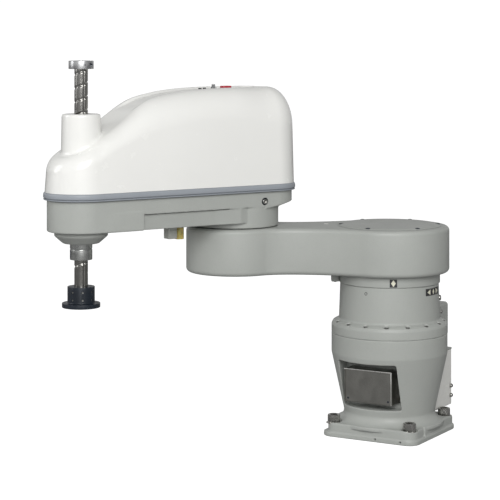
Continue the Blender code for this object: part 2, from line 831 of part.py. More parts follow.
def spline_housing(frame):
    axis = (ARM_2_LENGTH, 0.0, 0.0)
    top = ARM_2_BOTTOM - GAP
    profile = [
        (0.0290, 0.4500),
        (0.0335, 0.4500),
        (0.0335, top),
        (0.0490, top),
        (0.0490, 0.4040),
        (0.0335, 0.3910),
        (0.0215, 0.3910),
        (0.0215, 0.3950),
        (0.0290, 0.3950),
    ]
    turned("spline_housing", profile, frame, PAINT, closed=True, centre=axis)
    ring("spline_bearing", 0.0213, 0.0285, 0.4000, 0.4450, frame, STEEL, steps=24, centre=axis)


def nut_bridge(frame):
    """The plate that carries the ball-screw nut over the rotation belt."""
    outline = rounded_rectangle((0.318, -0.048), (0.382, 0.048), 0.012, 2)
    bridge = prism("nut_bridge", outline, 0.4860, 0.4940, frame, ALUMINIUM)
    for side in (-1, 1):
        low = (0.338, min(side * 0.038, side * 0.047), ARM_2_FLOOR + GAP)
        high = (0.362, max(side * 0.038, side * 0.047), 0.4870)
        join(bridge, block(f"bridge_leg_{side}", low, high, frame))
    axis = (ARM_2_LENGTH, 0.0, 0.0)
    cut(bridge, disc("bridge_bore", 0.0240, 0.480, 0.500, frame, steps=24, centre=axis))


def motor_set(name, x, plate_bottom, motor_length, frame):
    """A motor hanging its pulley below a bracket that stands on the casting's floor."""
    plate_top = plate_bottom + 0.006
    low = (x - 0.032, -0.046)
    outline = rounded_rectangle(low, (x + 0.032, 0.046), 0.006, 2)
    bracket = prism(f"{name}_bracket", outline, plate_bottom, plate_top, frame, ALUMINIUM)
    for side in (-1, 1):
        leg_low = (x - 0.015, min(side * 0.037, side * 0.045), ARM_2_FLOOR + GAP)
        leg_high = (x + 0.015, max(side * 0.037, side * 0.045), plate_bottom + 0.001)
        join(bracket, block(f"{name}_leg_{side}", leg_low, leg_high, frame))
    centre = (x, 0.0, 0.0)
    cut(bracket, disc(f"{name}_bracket_bore", 0.010, plate_bottom - 0.01, plate_top + 0.01, frame, steps=12, centre=centre))
    bottom = plate_top + GAP
    profile = [
        (0.0, bottom + motor_length),
        (0.022, bottom + motor_length),
        (MOTOR_RADIUS, bottom + motor_length - 0.006),
        (MOTOR_RADIUS, bottom),
        (0.0, bottom),
    ]
    turned(f"{name}_motor", profile, frame, DARK_MOTOR, steps=24, centre=centre)


def pulley(name, inner, outer, bottom, frame, centre, finish=ALUMINIUM):
    if inner:
        ring(name, inner, outer, bottom, bottom + BELT_HEIGHT, frame, finish, steps=24, centre=centre)
    else:
        disc(name, outer, bottom, bottom + BELT_HEIGHT, frame, finish, steps=20, centre=centre)


def belt(name, motor_x, large_radius, bottom, frame):
    """A closed belt round the motor's pulley and the pulley on the nut."""
    slack = 0.0009
    thickness = 0.0018
    loops = []
    for reach in (slack + thickness, slack):
        large = large_radius + reach
        small = MOTOR_PULLEY_RADIUS + reach
        tilt = math.degrees(math.asin((large - small) / (ARM_2_LENGTH - motor_x)))
        far = arc((ARM_2_LENGTH, 0.0), large, -90 - tilt, 90 + tilt, 16)
        near = arc((motor_x, 0.0), small, 90 + tilt, 270 - tilt, 10)
        loops.append(far + near)
    outer = prism(name, loops[0], bottom + 0.001, bottom + BELT_HEIGHT - 0.001, frame, RUBBER)
    cut(outer, prism(name + "_inside", loops[1], bottom, bottom + BELT_HEIGHT, frame))


def j2_drive(frame):
    ring("j2_bearing_inner", 0.0530, 0.0620, 0.3780, HUB_BOTTOM - GAP, frame, STEEL)
    profile = [(0.012, 0.4021), (0.0515, 0.4021), (0.0515, 0.3460), (0.0480, 0.3460), (0.0480, 0.3960), (0.012, 0.3960)]
    turned("j2_flexspline", profile, frame, STEEL, closed=True)
    turned(
        "j2_wave_generator",
        [(0.0, 0.4205), (0.008, 0.4205), (0.008, 0.372), (0.038, 0.372), (0.038, 0.352), (0.0, 0.352)],
        frame,
        STEEL,
        steps=24,
    )
    floor = ARM_2_FLOOR + GAP
    profile = [(0.0, 0.5450), (0.0350, 0.5450), (0.0350, 0.4330), (0.0440, 0.4330), (0.0440, floor), (0.0, floor)]
    turned("j2_motor", profile, frame, DARK_MOTOR, steps=24)


def j2_stop(frame):
    """The urethane bumper that meets arm 1's flank, and the block that backs it."""
    top = ARM_2_BOTTOM - GAP
    disc("j2_bumper", 0.0088, 0.3830, top, frame, AMBER, steps=16, centre=(0.132, 0.0, 0.0))
    bracket = block("j2_stop_bracket", (0.1425, -0.0095, 0.3850), (0.1620, 0.0095, top), frame, PAINT)
    bevel(bracket, 0.003)


# ---------------------------------------------------------------- shaft and nuts


def nuts(frame):
    ring("spline_nut", NUT_BORE, SLEEVE_RADIUS, SLEEVE_BOTTOM, 0.4700, frame, STEEL, steps=24)
    pulley("spline_pulley", SLEEVE_RADIUS + 0.0004, SPLINE_PULLEY_RADIUS, ROTATION_BELT_BOTTOM, frame, (0.0, 0.0, 0.0))
    ring("screw_nut", NUT_BORE, 0.0225, 0.4880, 0.5400, frame, STEEL, steps=24)
    pulley("screw_pulley", 0.0229, SCREW_PULLEY_RADIUS, Z_BELT_BOTTOM, frame, (0.0, 0.0, 0.0))


def shaft_and_tool(frame):
    ring("spline_shaft", SHAFT_BORE, SHAFT_RADIUS, SHAFT_BOTTOM, SHAFT_TOP, frame, STEEL, steps=24)
    fit = SHAFT_RADIUS + 0.0003
    collar = ring("top_collar", fit, 0.0230, COLLAR_BOTTOM, COLLAR_TOP, frame, ALUMINIUM, steps=24)
    slit = block("collar_slit", (0.005, -0.001, 0.700), (0.030, 0.001, 0.730), frame)
    cut(collar, slit)
    profile = [
        (fit, TOOL_HUB_TOP),
        (0.0250, TOOL_HUB_TOP),
        (0.0250, TOOL_FLANGE_TOP),
        (0.0350, TOOL_FLANGE_TOP),
        (0.0350, TOOL_FACE),
        (fit, TOOL_FACE),
    ]
    turned("tool_flange", profile, frame, BLACK, steps=24, closed=True)


def build():
    base = empty("joint_1_axis", None, (0.0, 0.0, 0.0), 0.0)
    base_casting(base)
    anchor_bolts(base)
    front_access_box(base)
    column_housing(base)
    fixed_stop(base)
    rear_duct_cover(base)
    connector_box(base)
    rear_fittings(base)
    j1_drive(base)
    arm_1 = empty("arm_1", base, (0.0, 0.0, 0.0), ARM_1_ANGLE)
    arm_1_casting(arm_1)
    arm_1_fittings(arm_1)
    arm_2 = empty("joint_2_axis", arm_1, (ARM_1_LENGTH, 0.0, 0.0), ARM_2_ANGLE)
    arm_2_casting(arm_2)
    arm_2_gasket(arm_2)
    arm_2_cover(arm_2)
    cover_fittings(arm_2)
    spline_housing(arm_2)
    nut_bridge(arm_2)
    motor_set("rotation", ROTATION_MOTOR_X, ROTATION_BELT_BOTTOM + BELT_HEIGHT + 0.002, 0.095, arm_2)
    motor_set("z", Z_MOTOR_X, Z_BELT_BOTTOM + BELT_HEIGHT + 0.002, 0.100, arm_2)
    pulley("rotation_motor_pulley", 0.0, MOTOR_PULLEY_RADIUS, ROTATION_BELT_BOTTOM, arm_2, (ROTATION_MOTOR_X, 0.0, 0.0))
    pulley("z_motor_pulley", 0.0, MOTOR_PULLEY_RADIUS, Z_BELT_BOTTOM, arm_2, (Z_MOTOR_X, 0.0, 0.0))
    belt("rotation_belt", ROTATION_MOTOR_X, SPLINE_PULLEY_RADIUS, ROTATION_BELT_BOTTOM, arm_2)
    belt("z_belt", Z_MOTOR_X, SCREW_PULLEY_RADIUS, Z_BELT_BOTTOM, arm_2)
    j2_drive(arm_2)
    j2_stop(arm_2)
    tool = empty("joint_4_axis", arm_2, (ARM_2_LENGTH, 0.0, 0.0), 0.0)
    nuts(tool)
    shaft_and_tool(tool)


clear_scene()
PARTS = new_collection("scara_robot_arm")
CUTTERS = new_collection("cutters")
CUTTERS.hide_render = True
build()
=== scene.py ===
"""Looks of the SCARA robot arm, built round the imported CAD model. Metres, in the row frame."""

import json
import math

import bmesh
import bpy
from mathutils import Matrix, Vector


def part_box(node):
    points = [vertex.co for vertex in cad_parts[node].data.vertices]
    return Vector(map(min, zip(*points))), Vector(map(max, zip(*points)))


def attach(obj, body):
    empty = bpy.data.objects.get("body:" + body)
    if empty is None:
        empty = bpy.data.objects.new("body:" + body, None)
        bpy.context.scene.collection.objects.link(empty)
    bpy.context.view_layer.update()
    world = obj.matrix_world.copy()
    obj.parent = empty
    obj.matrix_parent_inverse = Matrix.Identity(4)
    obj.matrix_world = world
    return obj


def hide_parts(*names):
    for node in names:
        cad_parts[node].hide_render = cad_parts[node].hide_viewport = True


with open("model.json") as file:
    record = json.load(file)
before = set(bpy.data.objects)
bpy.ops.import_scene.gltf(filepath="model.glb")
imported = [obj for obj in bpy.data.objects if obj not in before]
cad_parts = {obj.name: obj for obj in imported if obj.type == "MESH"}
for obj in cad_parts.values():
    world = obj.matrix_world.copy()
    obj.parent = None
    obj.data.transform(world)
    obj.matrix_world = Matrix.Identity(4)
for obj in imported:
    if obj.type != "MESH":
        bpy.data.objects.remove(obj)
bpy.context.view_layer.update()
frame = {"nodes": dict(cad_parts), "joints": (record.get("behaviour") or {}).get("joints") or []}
SCENE = bpy.context.scene
NODES = frame["nodes"]

# ---------------------------------------------------------------- frames

JOINTS = {joint["name"]: Vector(joint["pos_m"]) for joint in frame["joints"] if "pos_m" in joint}
J1, J2, J4 = JOINTS["joint_1"], JOINTS["joint_2"], JOINTS["tool_rotation"]
REACH_1 = (J2 - J1).to_2d().length
REACH_2 = (J4 - J2).to_2d().length


def local_frame(origin, start, end):
    """A frame on a joint's axis whose X runs from start to end, at height 0."""
    angle = math.atan2(end.y - start.y, end.x - start.x)
    return Matrix.Translation((origin.x, origin.y, 0.0)) @ Matrix.Rotation(angle, 4, "Z")


ARM_2 = local_frame(J2, J2, J4)
TOOL = local_frame(J4, J2, J4)
PLACES = {
    "base": Matrix.Identity(4),
    "arm_1": local_frame(J1, J1, J2),
    "arm_2": ARM_2,
    "brake_release": ARM_2,
    "nut": TOOL,
    "shaft": TOOL,
}

FORWARD = (0.0, 90.0, 0.0)
BACKWARD = (0.0, -90.0, 0.0)
DOWNWARD = (180.0, 0.0, 0.0)


def low(node):
    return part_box(node)[0].z


def high(node):
    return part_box(node)[1].z


# ---------------------------------------------------------------- mesh helpers


def skin(verts, faces):
    """A mesh of these points and faces, its normals outwards."""
    mesh = bpy.data.meshes.new("mesh")
    mesh.from_pydata([tuple(v) for v in verts], [], faces)
    mesh.validate()
    shape = bmesh.new()
    shape.from_mesh(mesh)
    bmesh.ops.remove_doubles(shape, verts=shape.verts, dist=1e-6)
    bmesh.ops.recalc_face_normals(shape, faces=shape.faces)
    shape.to_mesh(mesh)
    shape.free()
    return mesh


def turned(reach, angle, height=0.0):
    """The point at a reach from Z, in the direction of an angle."""
    return (reach * math.cos(angle), reach * math.sin(angle), height)


def revolve(profile, steps=128, closed=False):
    """A (radius, height) profile turned about Z. Points on the axis close the ends."""
    verts, rings = [], []
    for radius, height in profile:
        if radius < 1e-7:
            rings.append([len(verts)] * steps)
            verts.append((0.0, 0.0, height))
            continue
        rings.append(list(range(len(verts), len(verts) + steps)))
        verts += circle(radius, height, steps)
    faces = []
    pairs = list(zip(rings, rings[1:]))
    if closed:
        pairs.append((rings[-1], rings[0]))
    for upper, lower in pairs:
        for i in range(steps):
            k = (i + 1) % steps
            corners = list(dict.fromkeys([upper[i], upper[k], lower[k], lower[i]]))
            if len(corners) > 2:
                faces.append(corners)
    return skin(verts, faces)


def fillet(profile, radius, steps=4, skip=()):
    """The profile with its corners rounded, apart from its ends and those skipped."""
    rounded = [profile[0]]
    for i in range(1, len(profile) - 1):
        before, corner, after = (Vector(profile[j]) for j in (i - 1, i, i + 1))
        size = radius[i] if isinstance(radius, dict) and i in radius else radius
        if isinstance(size, dict) or i in skip or size <= 0:
            rounded.append(tuple(corner))
            continue
        inward, outward = before - corner, after - corner
        reach = min(size, inward.length * 0.45, outward.length * 0.45)
        start = corner + inward.normalized() * reach
        end = corner + outward.normalized() * reach
        for step in range(steps + 1):
            t = step / steps
            rounded.append(tuple((1 - t) ** 2 * start + 2 * t * (1 - t) * corner + t * t * end))
    rounded.append(profile[-1])
    return rounded


def disc(radius, bottom, top, edge=0.0005, steps=96):
    profile = [(0.0, top), (radius, top), (radius, bottom), (0.0, bottom)]
    return revolve(fillet(profile, edge, 3), steps)


def ring(inner, outer, bottom, top, edge=0.0005, steps=96):
    middle = (inner + outer) / 2
    profile = [
        (middle, top), (outer, top), (outer, bottom), (inner, bottom), (inner, top), (middle, top)
    ]
    return revolve(fillet(profile, edge, 3), steps)


def arc(centre, radius, start, end, steps):
    points = []
    for i in range(steps + 1):
        angle = math.radians(start + (end - start) * i / steps)
        points.append((centre[0] + radius * math.cos(angle), centre[1] + radius * math.sin(angle)))
    return points


def rounded_rectangle(lowest, highest, radius, steps=8):
    corners = (
        ((highest[0] - radius, highest[1] - radius), 0),
        ((lowest[0] + radius, highest[1] - radius), 90),
        ((lowest[0] + radius, lowest[1] + radius), 180),
        ((highest[0] - radius, lowest[1] + radius), 270),
    )
    points = []
    for centre, start in corners:
        points += arc(centre, radius, start, start + 90, steps)
    return points


def inset_outline(outline, distance):
    """Every point of a closed outline moved inwards along its normal."""
    moved = []
    count = len(outline)
    for i, point in enumerate(outline):
        before, after = Vector(outline[i - 1]), Vector(outline[(i + 1) % count])
        along = (after - before).normalized()
        moved.append((point[0] - along.y * distance, point[1] + along.x * distance))
    return moved


def loft(rows, caps=True):
    """Rings of equally many points joined into one skin; the two ends are filled."""
    verts = [point for row in rows for point in row]
    count = len(rows[0])
    faces = []
    for r in range(len(rows) - 1):
        for i in range(count):
            k = (i + 1) % count
            faces.append((r * count + i, r * count + k, (r + 1) * count + k, (r + 1) * count + i))
    if caps:
        faces.append(tuple(range(count)))
        faces.append(tuple(range(len(verts) - 1, len(verts) - 1 - count, -1)))
    return skin(verts, faces)


def slab(outline, bottom, top, edge=0.0, steps=3):
    """An outline raised from bottom to top, its two edges rounded."""
    rows = []
    if edge:
        turns = [math.pi / 2 * i / steps for i in range(steps + 1)]
        rows += [(edge * (1 - math.sin(t)), bottom + edge * (1 - math.cos(t))) for t in turns]
        rows += [(edge * (1 - math.sin(t)), top - edge * (1 - math.cos(t))) for t in reversed(turns)]
    else:
        rows = [(0.0, bottom), (0.0, top)]
    return loft([[(x, y, z) for x, y in inset_outline(outline, inset)] for inset, z in rows])


def box(lowest, highest, edge=0.0006, segments=2):
    """A block with its edges rounded."""
    shape = bmesh.new()
    bmesh.ops.create_cube(shape, size=1.0)
    size = [b - a for a, b in zip(lowest, highest)]
    middle = [(a + b) / 2 for a, b in zip(lowest, highest)]
    bmesh.ops.scale(shape, verts=shape.verts, vec=size)
    bmesh.ops.translate(shape, verts=shape.verts, vec=middle)
    if edge:
        bmesh.ops.bevel(
            shape, geom=shape.edges[:], offset=edge, segments=segments, affect="EDGES", profile=0.5
        )
    mesh = bpy.data.meshes.new("box")
    shape.to_mesh(mesh)
    shape.free()
    return mesh


def block(lowest, highest):
    """A plain block, as a cutter needs."""
    return box(lowest, highest, 0.0)


def rod(radius, bottom, top, steps):
    """A plain cylinder, as a cutter needs."""
    return disc(radius, bottom, top, 0.0, steps)


def moved(mesh, location=(0.0, 0.0, 0.0), turn=(0.0, 0.0, 0.0)):
    """The mesh turned about X, Y and Z by degrees, then moved."""
    for angle, axis in zip(turn, "XYZ"):
        mesh.transform(Matrix.Rotation(math.radians(angle), 4, axis))
    mesh.transform(Matrix.Translation(location))
    return mesh


def spun(mesh, angle):
    """The mesh turned about Z by degrees."""
    return moved(mesh, turn=(0.0, 0.0, angle))


def merged(*meshes):
    """Several meshes as one, without any Boolean."""
    shape = bmesh.new()
    for mesh in meshes:
        shape.from_mesh(mesh)
    made = bpy.data.meshes.new("merged")
    shape.to_mesh(made)
    shape.free()
    return made


def working(mesh):
    obj = bpy.data.objects.new("working", mesh)
    SCENE.collection.objects.link(obj)
    return obj


def evaluated(obj):
    """The mesh of a working object after its modifiers; the object goes."""
    bpy.context.view_layer.update()
    graph = bpy.context.evaluated_depsgraph_get()
    mesh = bpy.data.meshes.new_from_object(obj.evaluated_get(graph))
    bpy.data.objects.remove(obj, do_unlink=True)
    return mesh


def combined(mesh, tools, operation="DIFFERENCE"):
    """The mesh after a Boolean with each tool."""
    obj = working(mesh)
    helpers = [working(tool) for tool in tools]
    for helper in helpers:
        modifier = obj.modifiers.new("Boolean", "BOOLEAN")
        modifier.object = helper
        modifier.operation = operation
        modifier.solver = "EXACT"
    made = evaluated(obj)
    for helper in helpers:
        bpy.data.objects.remove(helper, do_unlink=True)
    return made


def cast(mesh, voxel, smoothing=4, factor=0.5):
    """The mesh as one skin with soft edges, as a casting or moulding has."""
    obj = working(mesh)
    remesh = obj.modifiers.new("Remesh", "REMESH")
    remesh.mode = "VOXEL"
    remesh.voxel_size = voxel
    smooth = obj.modifiers.new("Smooth", "SMOOTH")
    smooth.iterations = smoothing
    smooth.factor = factor
    return evaluated(obj)


def softened(mesh, weight, rounds, factor=0.5):
    """Smooths the mesh where weight(point) is above 0."""
    obj = working(mesh)
    group = obj.vertex_groups.new(name="soft")
    for vertex in mesh.vertices:
        amount = weight(vertex.co)
        if amount > 0.0:
            group.add([vertex.index], amount, "REPLACE")
    smooth = obj.modifiers.new("Smooth", "SMOOTH")
    smooth.vertex_group = "soft"
    smooth.iterations = rounds
    smooth.factor = factor
    return evaluated(obj)


# ---------------------------------------------------------------- pieces


def piece(name, mesh, body, finish, nodes=(), sharp=32.0, slot=None):
    """A visible piece that rides on a body, and stands for the CAD nodes named."""
    slot = slot or SLOTS[finish]
    mesh.transform(PLACES[body])
    mesh.materials.clear()
    mesh.materials.append(finish)
    mesh.name = name
    mesh.shade_smooth()
    mesh.set_sharp_from_angle(angle=math.radians(sharp))
    obj = bpy.data.objects.new(name, mesh)
    SCENE.collection.objects.link(obj)
    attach(obj, body)
    if nodes:
        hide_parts(*nodes)
    return obj


def set_of(name, make, places, turn, body, finish):
    """A copy of a small mesh at each place, together one piece."""
    copies = [moved(make(), place, turn) for place in places]
    piece(name, merged(*copies), body, finish)


# ---------------------------------------------------------------- materials


def fill_ramp(node, stops):
    """Stops are (position, colour or number)."""
    elements = node.color_ramp.elements
    while len(elements) < len(stops):
        elements.new(0.5)
    for element, (position, colour) in zip(elements, stops):
        element.position = position
        rgb = (colour,) * 3 if isinstance(colour, (int, float)) else colour
        element.color = (*rgb, 1.0)


class Nodes:
    """A material's node tree, with a short way to add and link nodes."""

    def __init__(self, name):
        self.material = bpy.data.materials.new(name)
        self.material.use_nodes = True
        self.tree = self.material.node_tree
        self.shader = self.tree.nodes["Principled BSDF"]
        self.place = self.add("ShaderNodeTexCoord").outputs["Object"]

    def add(self, kind, **values):
        node = self.tree.nodes.new(kind)
        for key, value in values.items():
            setattr(node, key, value)
        return node

    def link(self, source, target):
        self.tree.links.new(source, target)

    def noise(self, scale, detail=3.0, rough=0.5, stretch=None):
        node = self.add("ShaderNodeTexNoise")
        node.inputs["Scale"].default_value = scale
        node.inputs["Detail"].default_value = detail
        node.inputs["Roughness"].default_value = rough
        self.link(self.stretched(stretch), node.inputs["Vector"])
        return node.outputs["Fac"]

    def stretched(self, stretch):
        if not stretch:
            return self.place
        mapping = self.add("ShaderNodeMapping")
        mapping.inputs["Scale"].default_value = stretch
        self.link(self.place, mapping.inputs["Vector"])
        return mapping.outputs["Vector"]

    def cells(self, scale, feature="F1"):
        node = self.add("ShaderNodeTexVoronoi", feature=feature)
        node.inputs["Scale"].default_value = scale
        self.link(self.place, node.inputs["Vector"])
        return node.outputs["Distance"]

    def ramp(self, source, stops):
        node = self.add("ShaderNodeValToRGB")
        fill_ramp(node, stops)
        self.link(source, node.inputs["Fac"])
        return node.outputs["Color"]

    def clouds(self, scale, detail, rough, first, second, stops=(0.3, 0.7)):
        """Noise that runs from a first value or colour to a second."""
        return self.ramp(self.noise(scale, detail, rough), [(stops[0], first), (stops[1], second)])

    def mix(self, factor, first, second, blend="MIX"):
        node = self.add("ShaderNodeMix", data_type="RGBA", blend_type=blend)
        for socket, value in (
            (node.inputs[0], factor), (node.inputs[6], first), (node.inputs[7], second)
        ):
            if isinstance(value, bpy.types.NodeSocket):
                self.link(value, socket)
            elif isinstance(value, (int, float)):
                socket.default_value = value
            else:
                socket.default_value = (*value, 1.0)
        return node.outputs[2]

    def maths(self, operation, first, second=0.0):
        node = self.add("ShaderNodeMath", operation=operation)
        for socket, value in zip(node.inputs, (first, second)):
            if isinstance(value, bpy.types.NodeSocket):
                self.link(value, socket)
            else:
                socket.default_value = value
        return node.outputs[0]

    def bump(self, height, strength, distance):
        node = self.add("ShaderNodeBump")
        node.inputs["Strength"].default_value = strength
        node.inputs["Distance"].default_value = distance
        self.link(height, node.inputs["Height"])
        self.link(node.outputs["Normal"], self.shader.inputs["Normal"])

    def edges(self, low_stop=0.52, high_stop=0.60):
        """White along outward edges."""
        geometry = self.add("ShaderNodeNewGeometry")
        return self.ramp(geometry.outputs["Pointiness"], [(low_stop, 0.0), (high_stop, 1.0)])

    def set(self, **sockets):
        for name, value in sockets.items():
            socket = self.shader.inputs[name.replace("_", " ")]
            if isinstance(value, bpy.types.NodeSocket):
                self.link(value, socket)
            else:
                socket.default_value = value


def shade(colour, factor):
    return tuple(min(1.0, channel * factor) for channel in colour)


def painted(name, colour, rough=0.42, grain=1400.0, bump=0.10, coat=0.04, wear=0.20):
    """Sprayed paint on a casting: fine orange peel, faint blotches, and paler worn edges."""
    nodes = Nodes(name)
    blotches = nodes.clouds(9.0, 4.0, 0.6, shade(colour, 0.955), shade(colour, 1.035))
    specks = nodes.clouds(620.0, 2.0, 0.5, 0.90, 1.0, (0.30, 0.46))
    tinted = nodes.mix(0.55, blotches, specks, "MULTIPLY")
    worn = nodes.maths("MULTIPLY", nodes.edges(), nodes.clouds(60.0, 4.0, 0.7, 0.0, wear, (0.42, 0.62)))
    nodes.set(Base_Color=nodes.mix(worn, tinted, shade(colour, 1.30)))
    gloss = nodes.clouds(26.0, 5.0, 0.65, rough - 0.05, rough + 0.07)
    nodes.set(Roughness=gloss, Coat_Weight=coat, Coat_Roughness=0.25, Specular_IOR_Level=0.38)
    peel = nodes.maths("ADD", nodes.noise(grain, 2.0, 0.5), nodes.noise(grain * 0.22, 2.0, 0.5))
    nodes.bump(peel, bump, 0.0006)
    return nodes.material


def moulded(name, colour, rough=0.22):
    """Gloss-painted plastic: nearly smooth, with a long soft ripple."""
    nodes = Nodes(name)
    tone = nodes.clouds(5.0, 4.0, 0.55, shade(colour, 0.975), shade(colour, 1.01))
    dust = nodes.clouds(240.0, 4.0, 0.7, 0.94, 1.0, (0.28, 0.42))
    nodes.set(Base_Color=nodes.mix(0.12, tone, dust, "MULTIPLY"))
    nodes.set(Roughness=nodes.clouds(40.0, 5.0, 0.6, rough - 0.04, rough + 0.06))
    nodes.set(Coat_Weight=0.35, Coat_Roughness=0.08, Coat_IOR=1.5)
    nodes.bump(nodes.maths("ADD", nodes.noise(420.0, 2.0), nodes.noise(90.0, 2.0)), 0.035, 0.0006)
    return nodes.material


def metal(name, colour, rough, stretch=None, grain=900.0, bump=0.08, variation=0.12, anisotropy=0.0):
    """Machined or brushed metal; stretch draws the grain out into lines."""
    nodes = Nodes(name)
    lines = nodes.noise(grain, 3.0, 0.6, stretch)
    tone = nodes.ramp(
        lines, [(0.3, shade(colour, 1 - variation)), (0.7, shade(colour, 1 + variation * 0.5))]
    )
    smears = nodes.clouds(35.0, 5.0, 0.6, 0.88, 1.0, (0.3, 0.62))
    nodes.set(Base_Color=nodes.mix(0.6, tone, smears, "MULTIPLY"), Metallic=1.0)
    nodes.set(Roughness=nodes.clouds(60.0, 5.0, 0.65, rough - 0.06, rough + 0.10))
    nodes.set(Anisotropic=anisotropy)
    nodes.bump(lines, bump, 0.0003)
    return nodes.material


def dark_finish(name, colour, rough, metallic=0.0, bump=0.12, scale=1100.0, worn_colour=None):
    """Black oxide, anodising, plastic or rubber: fine tooth, dusty patches, edges rubbed paler."""
    nodes = Nodes(name)
    dust = nodes.clouds(45.0, 5.0, 0.65, colour, shade(colour, 1.6), (0.35, 0.75))
    rubbed = nodes.maths(
        "MULTIPLY", nodes.edges(0.51, 0.57), nodes.clouds(220.0, 4.0, 0.7, 0.0, 0.6, (0.4, 0.65))
    )
    nodes.set(Base_Color=nodes.mix(rubbed, dust, worn_colour or shade(colour, 6.0)), Metallic=metallic)
    nodes.set(Roughness=nodes.clouds(150.0, 4.0, 0.6, rough - 0.06, rough + 0.10))
    nodes.bump(nodes.noise(scale, 3.0, 0.6), bump, 0.0004)
    return nodes.material


def urethane(name, colour):
    """Cast urethane: slightly clear, with small clouds in it."""
    nodes = Nodes(name)
    clouds = nodes.clouds(180.0, 4.0, 0.6, shade(colour, 0.8), shade(colour, 1.15))
    nodes.set(Base_Color=clouds, Subsurface_Weight=0.35, Subsurface_Scale=0.004, Coat_Weight=0.2)
    nodes.set(Roughness=nodes.clouds(90.0, 3.0, 0.5, 0.26, 0.40))
    nodes.bump(nodes.noise(700.0, 2.0), 0.06, 0.0004)
    return nodes.material


GREY = (0.395, 0.410, 0.388)
PAINT = painted("grey_paint_mat", GREY)
ROUGH_PAINT = painted(
    "rough_paint_mat", shade(GREY, 0.92), rough=0.55, grain=900.0, bump=0.30, coat=0.0, wear=0.35
)
COVER = moulded("white_cover_mat", (0.84, 0.84, 0.815))
SHEET = painted("white_sheet_mat", (0.90, 0.90, 0.86), rough=0.38, bump=0.05)
RIM = painted("rim_mat", (0.305, 0.329, 0.360), rough=0.40, grain=1800.0, bump=0.06, wear=0.1)
STEEL = metal("bright_steel_mat", (0.46, 0.455, 0.435), 0.24, bump=0.10)
# Near-white metal for the access cover's edge strips: painted highlights.
EDGE_HIGHLIGHT = metal("painted_edge_highlight_mat", (0.86, 0.86, 0.82), 0.30)
SCREW_GREY = metal("zinc_screw_mat", (0.27, 0.27, 0.26), 0.34, bump=0.10)
SLEEVE_STEEL = metal("sleeve_steel_mat", (0.46, 0.47, 0.46), 0.26, (1.0, 1.0, 0.05), 2200.0, 0.08, 0.10)
SHAFT_STEEL = metal("ground_steel_mat", (0.31, 0.305, 0.29), 0.18, (1.0, 1.0, 0.04), 2600.0, 0.10, 0.10)
STAINLESS = metal("stainless_mat", (0.31, 0.305, 0.285), 0.34, (0.05, 1.0, 1.0), 1500.0, 0.12, 0.18)
ALUMINIUM = metal("aluminium_mat", (0.55, 0.555, 0.56), 0.30, (1.0, 1.0, 0.1), 1800.0, 0.10, 0.08)
OXIDE = dark_finish(
    "black_oxide_mat", (0.0065, 0.0105, 0.017), 0.36, 0.2, worn_colour=(0.10, 0.11, 0.13)
)
PLASTIC = dark_finish("black_plastic_mat", (0.014, 0.014, 0.015), 0.48)
RUBBER = dark_finish(
    "rubber_mat", (0.016, 0.016, 0.016), 0.75, bump=0.2, worn_colour=(0.05, 0.05, 0.05)
)
MOTOR = dark_finish("motor_black_mat", (0.025, 0.025, 0.028), 0.50, bump=0.25, scale=700.0)
AMBER = urethane("amber_mat", (0.66, 0.55, 0.17))
# A paler copy of the grey casting paint for the stop bracket: painted light that lifts it out of its
# shade.
SHADE_LIFTED_PAINT = painted("shade_lifted_paint_mat", (0.52, 0.53, 0.49), rough=0.5)
RED = moulded("red_plastic_mat", (0.42, 0.012, 0.03), 0.30)
CREAM = moulded("pale_mark_mat", (0.75, 0.74, 0.60), 0.40)
BRASS = metal("contact_brass_mat", (0.70, 0.50, 0.22), 0.28)

SLOTS = {
    PAINT: "grey_paint",
    ROUGH_PAINT: "grey_paint",
    SHADE_LIFTED_PAINT: "grey_paint",
    STEEL: "bright_steel",
    SCREW_GREY: "bright_steel",
    EDGE_HIGHLIGHT: "bright_steel",
    SLEEVE_STEEL: "bright_steel",
    SHAFT_STEEL: "ground_steel",
    STAINLESS: "stainless_sheet",
    ALUMINIUM: "aluminium",
    BRASS: "aluminium",
    OXIDE: "black_oxide",
    PLASTIC: "black_plastic",
    RUBBER: "belt_rubber",
    CREAM: "white_sheet",
    SHEET: "white_sheet",
    COVER: "white_cover",
    RIM: "rim_grey",
    RED: "red_plastic",
    AMBER: "amber_urethane",
}


# ---------------------------------------------------------------- screws and labels


def circle(radius, height, steps, wave=0.0):
    """A ring of points, every second one drawn in by wave."""
    return [turned(radius - wave * (i % 2), 2 * math.pi * i / steps, height) for i in range(steps)]


def hexagon(across, height, steps):
    """A ring of points on a hexagon that is across wide between its flats."""
    angles = [2 * math.pi * i / steps for i in range(steps)]
    return [turned(across / 2 / math.cos(a % (math.pi / 3) - math.pi / 6), a, height) for a in angles]


def cap_head(radius, height, across, steps=48, knurl=0.0):
    """A socket-head cap screw's head standing on height 0."""
    rim = radius * 0.07
    rows = [
        circle(radius - rim * 0.5, 0.0, steps),
        circle(radius, rim, steps, knurl),
        circle(radius, height - rim * 2.2, steps, knurl),
        circle(radius - rim * 0.3, height - rim, steps),
        circle(radius - rim * 1.3, height, steps),
        circle(across * 0.64, height, steps),
        hexagon(across, height - rim * 0.8, steps),
        hexagon(across, height * 0.45, steps),
        circle(across * 0.2, height * 0.40, steps),
    ]
    return loft(rows)


def button_head(radius, height, across, steps=24):
    """A low domed head with a hexagon socket."""
    rows = [circle(radius, 0.0, steps), circle(radius, height * 0.25, steps)]
    rows += [
        circle(radius * (1 - 0.5 * t * t), height * (0.25 + 0.75 * math.sin(t * 1.4)), steps)
        for t in (0.3, 0.6, 0.85)
    ]
    rows += [
        circle(across * 0.62, height * 1.0, steps),
        hexagon(across, height * 0.9, steps),
        hexagon(across, height * 0.35, steps),
    ]
    return loft(rows)


